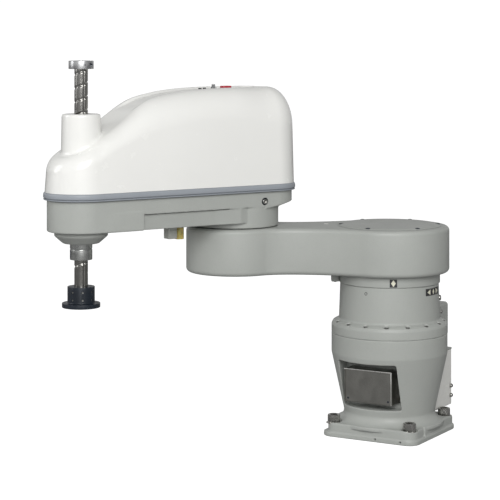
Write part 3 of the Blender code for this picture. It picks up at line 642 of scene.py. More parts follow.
def slotted_head(radius, height, steps=32):
    """A pan head with a cross cut into it."""
    head = revolve(
        fillet(
            [(0.0, height), (radius * 0.8, height), (radius, height * 0.3), (radius, 0.0), (0.0, 0.0)],
            height * 0.4,
            3,
        ),
        steps,
    )
    width, reach = radius * 0.16, radius * 0.55
    cross = [
        block((-reach, -width, height * 0.45), (reach, width, height * 1.5)),
        block((-width, -reach, height * 0.45), (width, reach, height * 1.5)),
    ]
    return combined(head, cross)


def around(make, radius, count, start, height, centre=(0.0, 0.0), turn=(0.0, 0.0, 0.0)):
    """Copies of a small mesh on a circle, merged."""
    copies = []
    for number in range(count):
        angle = math.radians(start + 360.0 * number / count)
        place = (centre[0] + radius * math.cos(angle), centre[1] + radius * math.sin(angle), height)
        copies.append(moved(make(), place, turn))
    return merged(*copies)


def curved_tile(outline, radius, lift, angle, height):
    """A thin tile on a cylinder: outline points are (along the surface, up), in metres."""
    start = math.radians(angle)
    rows = []
    for reach in (radius - 0.0003, radius + lift):
        rows.append([turned(reach, start + along / radius, height + up) for along, up in outline])
    return loft(rows)


def curved_band(length, tall, radius, lift, angle, height, steps=16):
    """A thin rectangular strip on a cylinder."""
    section = ((0.0, -tall / 2), (lift, -tall / 2), (lift, tall / 2), (0.0, tall / 2))
    rows = []
    for i in range(steps + 1):
        turn = math.radians(angle) + length * (i / steps - 0.5) / radius
        rows.append([turned(radius + r, turn, height + z) for r, z in section])
    return loft(rows)


DIAMOND = [(-0.0032, 0.0), (0.0, -0.0055), (0.0032, 0.0), (0.0, 0.0055)]
ARROW = [(-0.0045, 0.0), (0.0030, -0.0042), (0.0030, 0.0042)]


# ---------------------------------------------------------------- base

COLUMN_RADIUS = 0.1124
FLANGE_SCREW_RADIUS = 0.1042
FLANGE_SCREWS = 16
LABEL_HEIGHT = 0.2795
LABEL_ANGLE = 86.0
BASE_TOP = high("base_casting")
PLATE_HALF = 0.100
CONE_TOP = 0.157
CONE_FOOT = 0.045
CONE_FOOT_RADIUS = 0.088
WINDOW = ((-0.0655, 0.058), (0.058, 0.147))


def bolt_places():
    centres = []
    for number in range(1, 5):
        lowest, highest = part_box(f"anchor_bolt_{number}")
        centres.append(((lowest.x + highest.x) / 2, (lowest.y + highest.y) / 2))
    return centres


def window_rim(point):
    """1 round the window's outer edge, where the cone's skin turns in."""
    (left, bottom), (right, top) = WINDOW
    beyond = max(left - point.y, point.y - right, bottom - point.z, point.z - top) - 0.006
    beyond = max(beyond, 0.065 - point.x)
    return 1 - smooth_step(-0.002, 0.002, beyond)


def base_casting():
    half = PLATE_HALF
    seat = low("anchor_bolt_1") + 0.0230
    ledge = slab(rounded_rectangle((-half, -half), (half, half), 0.022), 0.0, 0.009, 0.0010)
    outline = rounded_rectangle((-half + 0.001, -half + 0.009), (half - 0.001, half - 0.003), 0.022)
    upper = slab(outline, 0.006, 0.027, 0.0025)
    flare_radius = 0.017
    flare = []
    for step in range(9):
        angle = math.pi / 2 * step / 8
        reach = CONE_FOOT_RADIUS + flare_radius * (1 - math.cos(angle))
        flare.append((reach, CONE_FOOT - flare_radius * 1.05 * math.sin(angle)))
    profile = [(0.0, BASE_TOP), (COLUMN_RADIUS, BASE_TOP), (COLUMN_RADIUS, CONE_TOP)] + flare
    column = revolve(profile + [(flare[-1][0], 0.020), (0.0, 0.020)], 160)
    cavity = revolve(
        [
            (0.0, BASE_TOP + 0.001), (0.085, BASE_TOP + 0.001), (0.085, 0.182), (0.102, 0.176),
            (0.102, 0.156), (0.078, CONE_FOOT), (0.074, 0.014), (0.0, 0.014),
        ],
        96,
    )
    (left, bottom), (right, top) = WINDOW
    cavity = combined(
        cavity, [block((0.045, left - 0.010, bottom - 0.010), (0.130, right + 0.010, top + 0.010))]
    )
    window = box((0.050, left, bottom), (0.130, right, top), 0.0030, 3)
    passage = block((0.040, -0.049, 0.074), (0.060, 0.042, 0.127))
    pockets = []
    for x, y in bolt_places():
        profile = [
            (0.0, 0.060), (0.0158, 0.060), (0.0158, seat), (0.0088, seat), (0.0088, -0.001),
            (0.0, -0.001),
        ]
        pockets.append(moved(revolve(profile, 48), (x, y, 0.0)))
    jack_holes = [
        moved(rod(0.0021, -0.006, 0.002, 24), (half, y, 0.0058), FORWARD) for y in (0.018, 0.070)
    ]
    notch = block((0.046, half - 0.0065, 0.0095), (0.054, half + 0.010, 0.040))
    foot = combined(ledge, [upper, column], "UNION")
    foot = combined(foot, [cavity, window, passage, notch, *pockets])
    foot = cast(foot, 0.00125, 3)
    foot = softened(foot, window_rim, 8)
    foot = combined(foot, jack_holes)
    piece("base_body", foot, "base", PAINT, ["base_casting"], 50.0)


def anchor_bolts():
    for number, (x, y) in enumerate(bolt_places(), 1):
        node = f"anchor_bolt_{number}"
        seat = high(node) - 0.016
        head = cap_head(0.0120, 0.016, 0.0140, 96, 0.00045)
        shank = revolve(
            fillet(
                [(0.0, 0.0), (0.0080, 0.0), (0.0080, low(node) - seat), (0.0, low(node) - seat)],
                0.001,
                3,
            ),
            48,
        )
        washer = ring(0.0086, 0.0150, -0.0002, 0.0006, 0.0001, 64)
        bolt = combined(head, [moved(shank, (0.0, 0.0, 0.0003)), washer], "UNION")
        moved(bolt, (x, y, seat), (0.0, 0.0, 17.0 * number))
        piece(f"foot_bolt_{number}", bolt, "base", STEEL, [node])


def access_box():
    """The folded sheet cover in the window: sunk front, bright strips on its top and right flange edges
    as painted highlights, and feet with screws.
    """
    lowest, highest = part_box("front_access_box")
    back, front = lowest.x, highest.x
    left, right, bottom, top = lowest.y, highest.y, lowest.z, highest.z
    sheet = 0.0018
    shell = combined(
        box((back, left, bottom), (front, right, top), 0.0012, 3),
        [
            block(
                (back - 0.01, left + sheet, bottom + sheet), (front - 0.004, right - sheet, top - sheet)
            ),
            block(
                (front - 0.0014, left + sheet, bottom + sheet),
                (front + 0.01, right - sheet, top - sheet),
            ),
        ],
    )
    feet = []
    for name, side, end in (("left", left, -1), ("right", right, 1)):
        inner, outer, middle = side, side + 0.010 * end, side + 0.006 * end
        foot = box(
            (back, min(inner, outer), bottom),
            (back + 0.0015, max(inner, outer), bottom + 0.013),
            0.0004,
        )
        hole = moved(rod(0.0022, -0.01, 0.01, 20), (back, middle, bottom + 0.006), FORWARD)
        feet.append(combined(foot, [hole]))
        screw = moved(
            cap_head(0.0036, 0.0030, 0.0030, 24), (back + 0.0015, middle, bottom + 0.006), FORWARD
        )
        piece(f"access_screw_{name}", screw, "base", STEEL)
    shell = combined(shell, feet, "UNION")
    piece("access_cover", shell, "base", STAINLESS, ["front_access_box"])
    # Painted highlights: near-white strips along the front's top and right edges.
    highlight_strips = [
        box((front - 0.0025, left, top - 0.0014), (front + 0.0002, right, top + 0.0003), 0.0003),
        box((front - 0.0025, right - 0.0016, bottom), (front + 0.0002, right + 0.0003, top), 0.0003),
    ]
    piece("access_cover_highlight_strips", merged(*highlight_strips), "base", EDGE_HIGHLIGHT)
    places = [(front - 0.0016, y, bottom + 0.0070) for y in (left + 0.0075, right - 0.0075)]
    set_of("access_face_screws", lambda: slotted_head(0.0021, 0.0009), places, FORWARD, "base", OXIDE)


def column_housing():
    top = high("column_housing")
    bottom = low("column_housing")
    profile = [
        (0.082, top), (0.0955, top), (0.098, 0.2225), (0.1000, 0.2205), (0.1050, 0.2188),
        (0.1100, 0.2158), (COLUMN_RADIUS, 0.2105), (COLUMN_RADIUS, bottom), (0.060, bottom),
        (0.060, 0.204), (0.082, 0.204),
    ]
    housing = revolve(profile, 192, closed=True)
    scallops = []
    for number in range(FLANGE_SCREWS):
        place = turned(FLANGE_SCREW_RADIUS, 2 * math.pi * number / FLANGE_SCREWS)
        cutter = revolve([(0.0, 0.230), (0.0054, 0.230), (0.0050, 0.2158), (0.0, 0.2158)], 32)
        scallops.append(moved(cutter, place))
    housing = cast(combined(housing, scallops), 0.00115, 2)
    piece("column_upper", housing, "base", PAINT, ["column_housing"], 50.0)
    head = lambda: cap_head(0.0038, 0.0026, 0.0038, 36, 0.0002)
    heads = around(head, FLANGE_SCREW_RADIUS, FLANGE_SCREWS, 0.0, 0.2156)
    piece("flange_screws", heads, "base", SCREW_GREY)


def neck(height):
    """The neck's radius at a height: it narrows slightly upwards."""
    foot, top = (0.098, 0.222), (0.0955, 0.2915)
    return foot[0] + (top[0] - foot[0]) * (height - foot[1]) / (top[1] - foot[1])


def neck_details():
    # Painted shade: the set screw head is near-black to show the dark hole it sits in.
    set_screw = moved(cap_head(0.0030, 0.0012, 0.0042, 24), (neck(0.279) - 0.0008, 0.0, 0.279), FORWARD)
    set_screw = spun(set_screw, -2.0)
    piece("neck_screw_hole_shade", set_screw, "base", RUBBER)
    plug = moved(button_head(0.0055, 0.0042, 0.0035, 32), (neck(0.261) - 0.0006, 0.0, 0.261), FORWARD)
    plug = spun(plug, 115.0)
    piece("neck_plug_screw", plug, "base", STEEL)
    surface = neck(LABEL_HEIGHT)
    strip = curved_band(0.0480, 0.0135, surface - 0.0003, 0.0008, LABEL_ANGLE, LABEL_HEIGHT, 24)
    piece("zero_strip", strip, "base", PLASTIC)
    arrow_left = [(along * 1.25 - 0.0145, up * 1.25) for along, up in ARROW]
    arrow_right = [(0.0145 - along * 1.25, up * 1.25) for along, up in reversed(ARROW)]
    marks = (arrow_left, DIAMOND, arrow_right)
    tiles = [curved_tile(mark, surface + 0.0003, 0.0004, LABEL_ANGLE, LABEL_HEIGHT) for mark in marks]
    piece("zero_strip_marks", merged(*tiles), "base", CREAM)


def fixed_stop():
    lowest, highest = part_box("j1_fixed_stop")
    half = highest.y
    lower = block((lowest.x, -half, lowest.z), (highest.x, half, 0.2905))
    upper = block((lowest.x, -half, 0.290), (-0.0988, half, highest.z))
    stop = cast(combined(lower, [upper], "UNION"), 0.0006, 4)
    piece("stop_block", stop, "base", PAINT, ["j1_fixed_stop"], 50.0)
    places = [(lowest.x, 0.0, z) for z in (0.270, 0.284)]
    head = lambda: cap_head(0.0036, 0.0016, 0.0030, 24)
    set_of("stop_block_screws", head, places, BACKWARD, "base", OXIDE)


def duct_cover():
    lowest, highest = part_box("rear_duct_cover")
    outline = rounded_rectangle((lowest.x, lowest.y), (-0.050, highest.y), 0.0072, 10)
    cover = slab(outline, lowest.z, highest.z, 0.0065, 6)
    wall = 0.004
    inner = rounded_rectangle((lowest.x + wall, lowest.y + wall), (-0.040, highest.y - wall), 0.0035, 6)
    hollow = slab(inner, lowest.z - 0.01, highest.z - wall)
    column = rod(COLUMN_RADIUS + 0.0006, 0.100, 0.300, 128)
    cover = combined(cover, [hollow, column])
    flange_outline = rounded_rectangle(
        (lowest.x, lowest.y - 0.0025), (-0.070, highest.y + 0.0025), 0.008, 10
    )
    flange = slab(flange_outline, lowest.z, lowest.z + 0.0045, 0.001)
    flange = combined(
        flange,
        [slab(inner, lowest.z - 0.01, lowest.z + 0.02), rod(COLUMN_RADIUS + 0.0006, 0.100, 0.300, 128)],
    )
    cover = combined(cover, [flange], "UNION")
    piece("duct_cover", cast(cover, 0.0011, 2), "base", PAINT, ["rear_duct_cover"], 50.0)
    screws = []
    for side in (-1, 1):
        for z in (lowest.z + 0.016, highest.z - 0.016):
            y = highest.y * side
            screws.append(
                moved(button_head(0.0034, 0.0018, 0.0022), (-0.112, y, z), (-90.0 * side, 0.0, 0.0))
            )
    piece("duct_cover_screws", merged(*screws), "base", STEEL)


def connector_panel():
    """The white connector box at the back, with a ledge, a panel plate and screws."""
    lowest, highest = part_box("rear_connector_box")
    outline = rounded_rectangle((lowest.x, lowest.y), (-0.060, highest.y), 0.0045, 6)
    shell = slab(outline, lowest.z, highest.z, 0.0018, 4)
    wall = 0.002
    inner = rounded_rectangle((lowest.x + wall, lowest.y + wall), (-0.050, highest.y - wall), 0.003, 4)
    hollow = slab(inner, lowest.z + wall, highest.z - wall)
    clear = 0.0009
    column = revolve(
        [
            (0.0, 0.160), (COLUMN_RADIUS + clear, 0.160), (COLUMN_RADIUS + clear, CONE_TOP),
            (CONE_FOOT_RADIUS + clear, CONE_FOOT), (0.1048, 0.029), (0.0, 0.029),
        ],
        128,
    )
    shell = combined(shell, [hollow, column])
    piece("connector_box", shell, "base", SHEET, ["rear_connector_box"])
    ledge = slab(
        rounded_rectangle(
            (lowest.x - 0.0006, lowest.y - 0.0006), (-0.112, highest.y + 0.0006), 0.004, 5
        ),
        highest.z - 0.0002,
        highest.z + 0.0034,
        0.0010,
    )
    ledge = combined(ledge, [rod(COLUMN_RADIUS + clear, 0.100, 0.200, 128)])
    piece("connector_box_ledge", ledge, "base", PAINT)
    face = lowest.x
    plate = moved(
        slab(rounded_rectangle((-0.046, -0.054), (0.046, 0.054), 0.005, 6), -0.0004, 0.0016, 0.0005),
        turn=BACKWARD,
    )
    piece("connector_plate", moved(plate, (face, 0.0, 0.088)), "base", ALUMINIUM)
    places = [(face - 0.0016, y, z) for y in (-0.049, 0.049) for z in (0.047, 0.129)]
    head = lambda: slotted_head(0.0028, 0.0016)
    set_of("connector_plate_screws", head, places, BACKWARD, "base", STEEL)
    for number in (1, 2):
        lowest_screw, highest_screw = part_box(f"panel_screw_{number}")
        middle = (lowest_screw + highest_screw) / 2
        head = moved(
            slotted_head(0.0042, 0.0048), (middle.x, highest.y + 0.0003, middle.z), (-90.0, 0.0, 0.0)
        )
        piece(f"panel_side_screw_{number}", head, "base", STEEL, [f"panel_screw_{number}"])


def round_connector(node, name, radius, length, pins):
    """A circular connector: square flange, ribbed shell, and pins in an insulator."""
    lowest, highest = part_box(node)
    middle = (lowest + highest) / 2
    place = (highest.x, middle.y, middle.z)
    flange = slab(
        rounded_rectangle((-radius * 1.05, -radius * 1.05), (radius * 1.05, radius * 1.05), 0.003, 5),
        0.0,
        0.0030,
        0.0005,
    )
    rows = []
    for step in range(15):
        height = 0.003 + (length - 0.003) * step / 14
        rows.append(
            circle(radius * (0.93 if step % 2 else 0.90), height, 72, 0.0003 if 4 < step < 12 else 0.0)
        )
    shell = loft(rows + [circle(radius * 0.80, length, 72), circle(radius * 0.78, 0.005, 72)])
    body = combined(flange, [shell], "UNION")
    piece(name, moved(body, place, BACKWARD), "base", PLASTIC, [node])
    insert = disc(radius * 0.74, 0.0045, length * 0.60, 0.0006, 64)
    contact = lambda: disc(radius * 0.065, length * 0.55, length * 0.86, 0.0004, 16)
    contacts = []
    for ring_radius, count in pins:
        contacts.append(around(contact, ring_radius * radius, count, 90.0, 0.0))
    piece(f"{name}_insert", moved(insert, place, BACKWARD), "base", RUBBER)
    piece(f"{name}_contacts", moved(merged(*contacts), place, BACKWARD), "base", BRASS)
    screws = around(lambda: slotted_head(0.0016, 0.0009, 20), radius * 1.25, 4, 45.0, 0.003)
    piece(f"{name}_screws", moved(screws, place, BACKWARD), "base", STEEL)


def rear_connectors():
    round_connector("power_connector", "power_socket", 0.0150, 0.0140, [(0.20, 3), (0.52, 8)])
    round_connector(
        "signal_connector", "signal_socket", 0.0120, 0.0140, [(0.0, 1), (0.28, 6), (0.56, 12)]
    )
    lowest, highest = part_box("base_air_port")
    middle = (lowest + highest) / 2
    flats = [hexagon(0.0115, height, 48) for height in (0.0, 0.0052)]
    nut = loft(flats + [circle(0.0055, 0.0060, 48), circle(0.0052, 0.0090, 48)])
    collar = ring(0.0032, 0.0058, 0.0088, 0.0120, 0.0007, 48)
    fitting = combined(nut, [moved(rod(0.0032, 0.0020, 0.0130, 32))])
    place = (highest.x, middle.y, middle.z)
    piece("air_port", moved(fitting, place, BACKWARD), "base", STEEL, ["base_air_port"])
    piece("air_port_collar", moved(collar, place, BACKWARD), "base", PLASTIC)


# ---------------------------------------------------------------- arm 1

ARM_1_BOTTOM = low("arm1_casting")
ARM_1_TOP = high("arm1_casting")


def bezier(start, handle_1, handle_2, end, steps):
    points = []
    for i in range(1, steps):
        t = i / steps
        weights = ((1 - t) ** 3, 3 * t * (1 - t) ** 2, 3 * t * t * (1 - t), t**3)
        corners = (start, handle_1, handle_2, end)
        points.append(tuple(sum(w * p[k] for w, p in zip(weights, corners)) for k in (0, 1)))
    return points


def arm_1_outline():
    j1_arc = arc((0.0, 0.0), 0.116, 60.0, 300.0, 96)
    j2_arc = arc((REACH_1, 0.0), 0.095, -125.0, 125.0, 96)
    down, up = math.radians(-30.0), math.radians(35.0)
    lower = bezier(
        j1_arc[-1],
        (j1_arc[-1][0] + 0.055 * math.cos(down), j1_arc[-1][1] - 0.055 * math.sin(down)),
        (j2_arc[0][0] - 0.050 * math.cos(up), j2_arc[0][1] + 0.050 * math.sin(up)),
        j2_arc[0],
        48,
    )
    return j1_arc + lower + j2_arc + [(x, -y) for x, y in reversed(lower)]


def arm_1_casting():
    skin = slab(arm_1_outline(), ARM_1_BOTTOM, ARM_1_TOP, 0.0085, 8)
    cavity = slab(arc((0.0, 0.0), 0.106, 48, 312, 48) + [(0.200, -0.052), (0.200, 0.052)], 0.322, 0.392)
    opening = rod(0.088, 0.380, 0.410, 96)
    floor_hole = rod(0.020, 0.300, 0.330, 48)
    bore = revolve(
        [
            (0.0, 0.410), (0.0745, 0.410), (0.0745, 0.340), (0.055, 0.340), (0.055, 0.3185),
            (0.0615, 0.3185), (0.0615, 0.300), (0.0, 0.300),
        ],
        96,
    )
    plug_seat = moved(rod(0.0052, ARM_1_TOP - 0.0012, ARM_1_TOP + 0.01, 32), (0.122, -0.0215, 0.0))
    arm = combined(skin, [cavity, opening, floor_hole, moved(bore, (REACH_1, 0.0, 0.0)), plug_seat])
    piece("link_1_body", arm, "arm_1", PAINT, ["arm1_casting"], 28.0)
    plug = moved(disc(0.0048, -0.0010, 0.0002, 0.0004, 48), (0.122, -0.0215, ARM_1_TOP))
    piece("link_1_plug", plug, "arm_1", SHEET)


def arm_1_lid():
    top = high("arm1_lid")
    bottom = low("arm1_lid")
    radius = 0.1005
    profile = [(0.0, top), (0.0915, top), (radius, bottom + 0.0007), (radius, bottom), (0.0, bottom)]
    lid = revolve(fillet(profile, {1: 0.0030, 2: 0.0004, 3: 0.0}, 5), 160)
    seats = [
        moved(rod(0.0056, top - 0.0016, top + 0.01, 40), turned(0.094, a))
        for a in (math.radians(60.0 * n) for n in range(6))
    ]
    piece("link_1_lid", combined(lid, seats), "arm_1", PAINT, ["arm1_lid"])
    heads = around(lambda: button_head(0.0045, 0.0018, 0.0030, 36), 0.094, 6, 0.0, top - 0.0016)
    piece("lid_screws", heads, "arm_1", OXIDE)


def arm_1_underside():
    bottom, top = low("j1_output_ring"), high("j1_output_ring")
    collar = revolve(
        fillet(
            [(0.060, top), (0.098, top), (0.098, bottom), (0.020, bottom), (0.020, top), (0.060, top)],
            0.0007,
            3,
        ), 160
    )
    piece("turning_ring", collar, "arm_1", PAINT, ["j1_output_ring"])
    middle = (bottom + top) / 2 - 0.0010
    tile = curved_band(0.0140, 0.0150, 0.0977, 0.0008, 90.0, middle, 8)
    piece("zero_tile", tile, "arm_1", PLASTIC)
    mark = curved_tile(
        [(along * 1.40, up * 1.20) for along, up in DIAMOND], 0.0983, 0.0004, 90.0, middle
    )
    piece("zero_tile_mark", mark, "arm_1", CREAM)
    half = 0.0125
    stopper = box((0.0986, -half, low("j1_stopper")), (0.113, half, high("j1_stopper")), 0.0012, 3)
    piece("stopper_block", stopper, "arm_1", PAINT, ["j1_stopper"])
    places = [(0.106, y, low("j1_stopper")) for y in (-0.0065, 0.0065)]
    head = lambda: cap_head(0.0026, 0.0012, 0.0022, 20)
    set_of("stopper_screws", head, places, DOWNWARD, "arm_1", OXIDE)
    bottom, top = low("j2_bottom_cap"), high("j2_bottom_cap")
    cap = revolve(fillet([(0.0, top), (0.061, top), (0.061, bottom), (0.0, bottom)], 0.0008, 3), 128)
    seats = [
        moved(rod(0.0042, bottom - 0.01, bottom + 0.0024, 32), turned(0.053, a))
        for a in (math.radians(60.0 * n + 30.0) for n in range(6))
    ]
    cap = moved(combined(cap, seats), (REACH_1, 0.0, 0.0))
    piece("link_1_end_cap", cap, "arm_1", PAINT, ["j2_bottom_cap"])
    heads = around(
        lambda: moved(button_head(0.0036, 0.0018, 0.0024, 24), turn=DOWNWARD),
        0.053, 6, 30.0, bottom + 0.0024, (REACH_1, 0.0),
    )
    piece("end_cap_screws", heads, "arm_1", OXIDE)


# ---------------------------------------------------------------- arm 2

BAND_TOP = high("arm2_casting")
CASTING_BOTTOM = 0.413
RECESS_TOP = 0.4425
HUB_RADIUS = 0.084
SIDE_SCREW = (-0.0085, 0.4526)
NOSE_RADIUS = 0.0625
HALF_WIDTH = 0.087
REAR = 0.100
CORNER = 0.055
RIM_OFFSET = 0.0067
COVER_OFFSET = 0.0043
COVER_WALL = 0.0026
COVER_BOTTOM = low("arm2_cover")


def arm_2_outline(offset, corner_steps=20, flank_steps=40, nose_steps=64):
    """Nose about the shaft, straight flanks and a rounded rear, offset outwards."""
    nose = NOSE_RADIUS + offset
    width = HALF_WIDTH + offset
    corner = CORNER + offset
    rear = REAR + offset
    slope = math.degrees(math.asin((width - nose) / REACH_2))
    nose_arc = arc((REACH_2, 0.0), nose, slope - 90, 90 - slope, nose_steps)
    rear_left = arc((corner - rear, width - corner), corner, 90 - slope / 2, 180, corner_steps)
    (x_0, y_0), (x_1, y_1) = nose_arc[-1], rear_left[0]
    parts = [i / flank_steps for i in range(1, flank_steps)]
    left = [(x_0 + (x_1 - x_0) * part, y_0 + (y_1 - y_0) * part) for part in parts] + rear_left
    return nose_arc + left + [(x, -y) for x, y in reversed(left)]


def arm_2_half_width(x):
    return HALF_WIDTH - (HALF_WIDTH - NOSE_RADIUS) / REACH_2 * x


def waist_row(height, depth):
    """The waist's outline at a height, its flanks drawn in by depth."""
    flank = [
        (0.0, 0.075),
        (0.046, arm_2_half_width(0.046) - depth / 3),
        (0.100, arm_2_half_width(0.100) - depth),
        (0.262, arm_2_half_width(0.257) - depth),
    ]
    return [(x, y, height) for x, y in [(x, -y) for x, y in flank] + flank[::-1]]


def arm_2_casting():
    band = slab(arm_2_outline(0.0), 0.4380, BAND_TOP)
    underside = revolve(
        [(HUB_RADIUS + 0.001, 0.4392), (0.150, 0.4660), (0.150, 0.4000), (HUB_RADIUS + 0.001, 0.4000)],
        128,
        True,
    )
    rear_half = block((-0.200, -0.200, 0.380), (-0.010, 0.200, 0.480))
    underside = combined(underside, [rear_half], "INTERSECT")
    front = block((-0.010, -0.150, 0.430), (0.450, 0.150, RECESS_TOP))
    band = combined(band, [underside, front])
    step_x = 0.257
    width = arm_2_half_width(step_x)
    nose = slab(
        arc((REACH_2, 0.0), NOSE_RADIUS, -86, 86, 64) + [(step_x, width), (step_x, -width)],
        CASTING_BOTTOM,
        0.450,
        0.0025,
    )
    waist_depths = ((CASTING_BOTTOM, 0.0095), (RECESS_TOP, 0.0070), (0.450, 0.0070))
    waist = loft([waist_row(z, depth) for z, depth in waist_depths])
    hub = disc(HUB_RADIUS, low("arm2_casting"), 0.4500, 0.0008, 160)
    casting = combined(band, [nose, waist, hub], "UNION")
    lower_outline = arc((REACH_2, 0.0), 0.055, -85, 85, 24)
    lower_outline += [
        (step_x, 0.056), (0.046, 0.070), (-0.045, 0.050), (-0.045, -0.050), (0.046, -0.070),
        (step_x, -0.056),
    ]
    pockets = [
        slab(lower_outline, 0.421, 0.455),
        slab(arm_2_outline(-0.006), 0.4500, 0.480),
        moved(rod(0.0342, 0.400, 0.430, 64), (REACH_2, 0.0, 0.0)),
        rod(0.012, 0.390, 0.430, 48),
    ]
    casting = cast(combined(casting, pockets), 0.00125, 2)
    x, z = SIDE_SCREW
    cutters = []
    for side in (-1, 1):
        cutters.append(moved(rod(0.0074, -0.012, 0.012, 48), (x, side * 0.0945, z), (90.0, 0.0, 0.0)))
        ends = [(0.070, arm_2_half_width(0.070) * side), (step_x, arm_2_half_width(step_x) * side)]
        line = [(px, py - 0.013 * side) for px, py in ends] + [
            (px, py + 0.003 * side) for px, py in reversed(ends)
        ]
        cutters.append(slab(line, RECESS_TOP - 0.0014, RECESS_TOP + 0.0002))
        inner, outer = sorted((side * (width - 0.013), side * (width + 0.003)))
        cutters.append(
            block((step_x - 0.0016, inner, CASTING_BOTTOM - 0.002), (step_x, outer, RECESS_TOP))
        )
    casting = combined(casting, cutters)
    piece("link_2_body", casting, "arm_2", PAINT, ["arm2_casting"], 50.0)
    # Each side screw is backed by a dark ring: painted shade of the pocket round the head.
    screws, pocket_shades = [], []
    for side in (-1, 1):
        seat, outwards = (x, side * 0.0826, z), (-90.0 * side, 0.0, 0.0)
        screws.append(moved(cap_head(0.0052, 0.0030, 0.0056, 48, 0.0002), seat, outwards))
        pocket_shades.append(moved(ring(0.0050, 0.0073, 0.0, 0.0008, 0.0002, 48), seat, outwards))
    piece("link_2_side_screws", merged(*screws), "arm_2", STEEL)
    piece("link_2_side_pocket_shades", merged(*pocket_shades), "arm_2", OXIDE)


def arm_2_gasket():
    """The grey band under the cover: a rounded lip outside, and a thin bead below."""
    bottom, top = low("arm2_gasket"), high("arm2_gasket")
    section = [
        (RIM_OFFSET - 0.0050, bottom), (RIM_OFFSET - 0.0012, bottom),
        (RIM_OFFSET - 0.0004, bottom + 0.0006), (RIM_OFFSET - 0.0004, bottom + 0.0018),
        (RIM_OFFSET - 0.0012, bottom + 0.0023), (RIM_OFFSET - 0.0030, bottom + 0.0024),
        (RIM_OFFSET - 0.0030, bottom + 0.0034), (RIM_OFFSET - 0.0010, bottom + 0.0035),
        (RIM_OFFSET - 0.0002, bottom + 0.0042), (RIM_OFFSET, bottom + 0.0052),
        (RIM_OFFSET, top - 0.0040), (RIM_OFFSET - 0.0004, top - 0.0018),
        (RIM_OFFSET - 0.0013, top - 0.0006), (RIM_OFFSET - 0.0024, top), (-0.006, top),
        (-0.006, bottom),
    ]
    rows = [[(x, y, z) for x, y in arm_2_outline(offset)] for offset, z in section]
    band = loft(rows + [rows[0]], caps=False)
    piece("cover_gasket", band, "arm_2", RIM, ["arm2_gasket"], 40.0)


STATIONS = (
    -0.110, 0.0, 0.050, 0.097, 0.150, 0.193, 0.220, 0.240, 0.262, 0.285, 0.310, 0.335, 0.362, 0.390,
    0.420,
)
HEIGHTS = (
    0.6700, 0.6702, 0.6700, 0.6688, 0.6650, 0.6585, 0.6520, 0.6430,
    0.6290, 0.6130, 0.5960, 0.5805, 0.5620, 0.5475, 0.5385,
)
SPINE = (-0.030, REACH_2 - 0.004)


def roof_height(x):
    """A smooth curve through the stations: level at the rear, falling in an S to the nose."""
    x = min(max(x, STATIONS[0]), STATIONS[-1])
    k = max(i for i in range(len(STATIONS) - 1) if STATIONS[i] <= x)

    def slope(i):
        first, last = max(0, i - 1), min(len(STATIONS) - 1, i + 1)
        return (HEIGHTS[last] - HEIGHTS[first]) / (STATIONS[last] - STATIONS[first])

    span = STATIONS[k + 1] - STATIONS[k]
    t = (x - STATIONS[k]) / span
    heights = HEIGHTS[k] * (2 * t**3 - 3 * t**2 + 1) + HEIGHTS[k + 1] * (3 * t**2 - 2 * t**3)
    slopes = slope(k) * (t**3 - 2 * t**2 + t) + slope(k + 1) * (t**3 - t**2)
    return heights + span * slopes


def smooth_step(start, end, x):
    share = min(1.0, max(0.0, (x - start) / (end - start)))
    return share * share * (3 - 2 * share)


def cover_rows():
    """Rings up the wall, over the rolled shoulder, down to the sunk panel, and in to the spine."""
    outline = arm_2_outline(COVER_OFFSET, 36, 90, 96)
    wall_rows, shoulder_rows, step_rows, panel_rows = 10, 22, 6, 10
    draft, step_width, panel_depth = 0.003, 0.007, 0.0045
    rows = []
    total = wall_rows + shoulder_rows + step_rows + panel_rows
    for row in range(total + 1):
        points = []
        for x, y in outline:
            spine_x = min(max(x, SPINE[0]), SPINE[1])
            length = math.hypot(x - spine_x, y)
            nose = smooth_step(0.200, 0.335, spine_x)
            rear = 1 - smooth_step(-0.030, 0.050, spine_x)
            width = 0.043 - 0.014 * nose + 0.008 * rear
            reach = 0.060 - 0.028 * nose + 0.015 * rear
            sunk = panel_depth * (1 - smooth_step(0.232, 0.264, spine_x))
            roof = roof_height(spine_x + (x - spine_x) * 0.5)
            if row <= wall_rows:
                part = row / wall_rows
                inset = draft * part
                height = COVER_BOTTOM - 0.004 + (roof - reach - COVER_BOTTOM + 0.004) * part
            elif row <= wall_rows + shoulder_rows:
                turn = math.pi / 2 * (row - wall_rows) / shoulder_rows
                inset = width * (1 - math.cos(turn)) + draft
                height = roof - reach * (1 - math.sin(turn))
            else:
                part = min(1.0, (row - wall_rows - shoulder_rows) / step_rows)
                inset = width + draft + step_width * part
                inward = max(0, row - wall_rows - shoulder_rows - step_rows) / panel_rows
                inset += (length - inset) * inward
                centre_roof = roof_height(spine_x)
                height = roof + (centre_roof - roof) * smooth_step(
                    0.0, 1.0, part
                ) - sunk * smooth_step(0.0, 1.0, part)
            scale = max(0.0, length - inset) / length
            points.append((spine_x + (x - spine_x) * scale, y * scale, height))
        rows.append(points)
    return rows


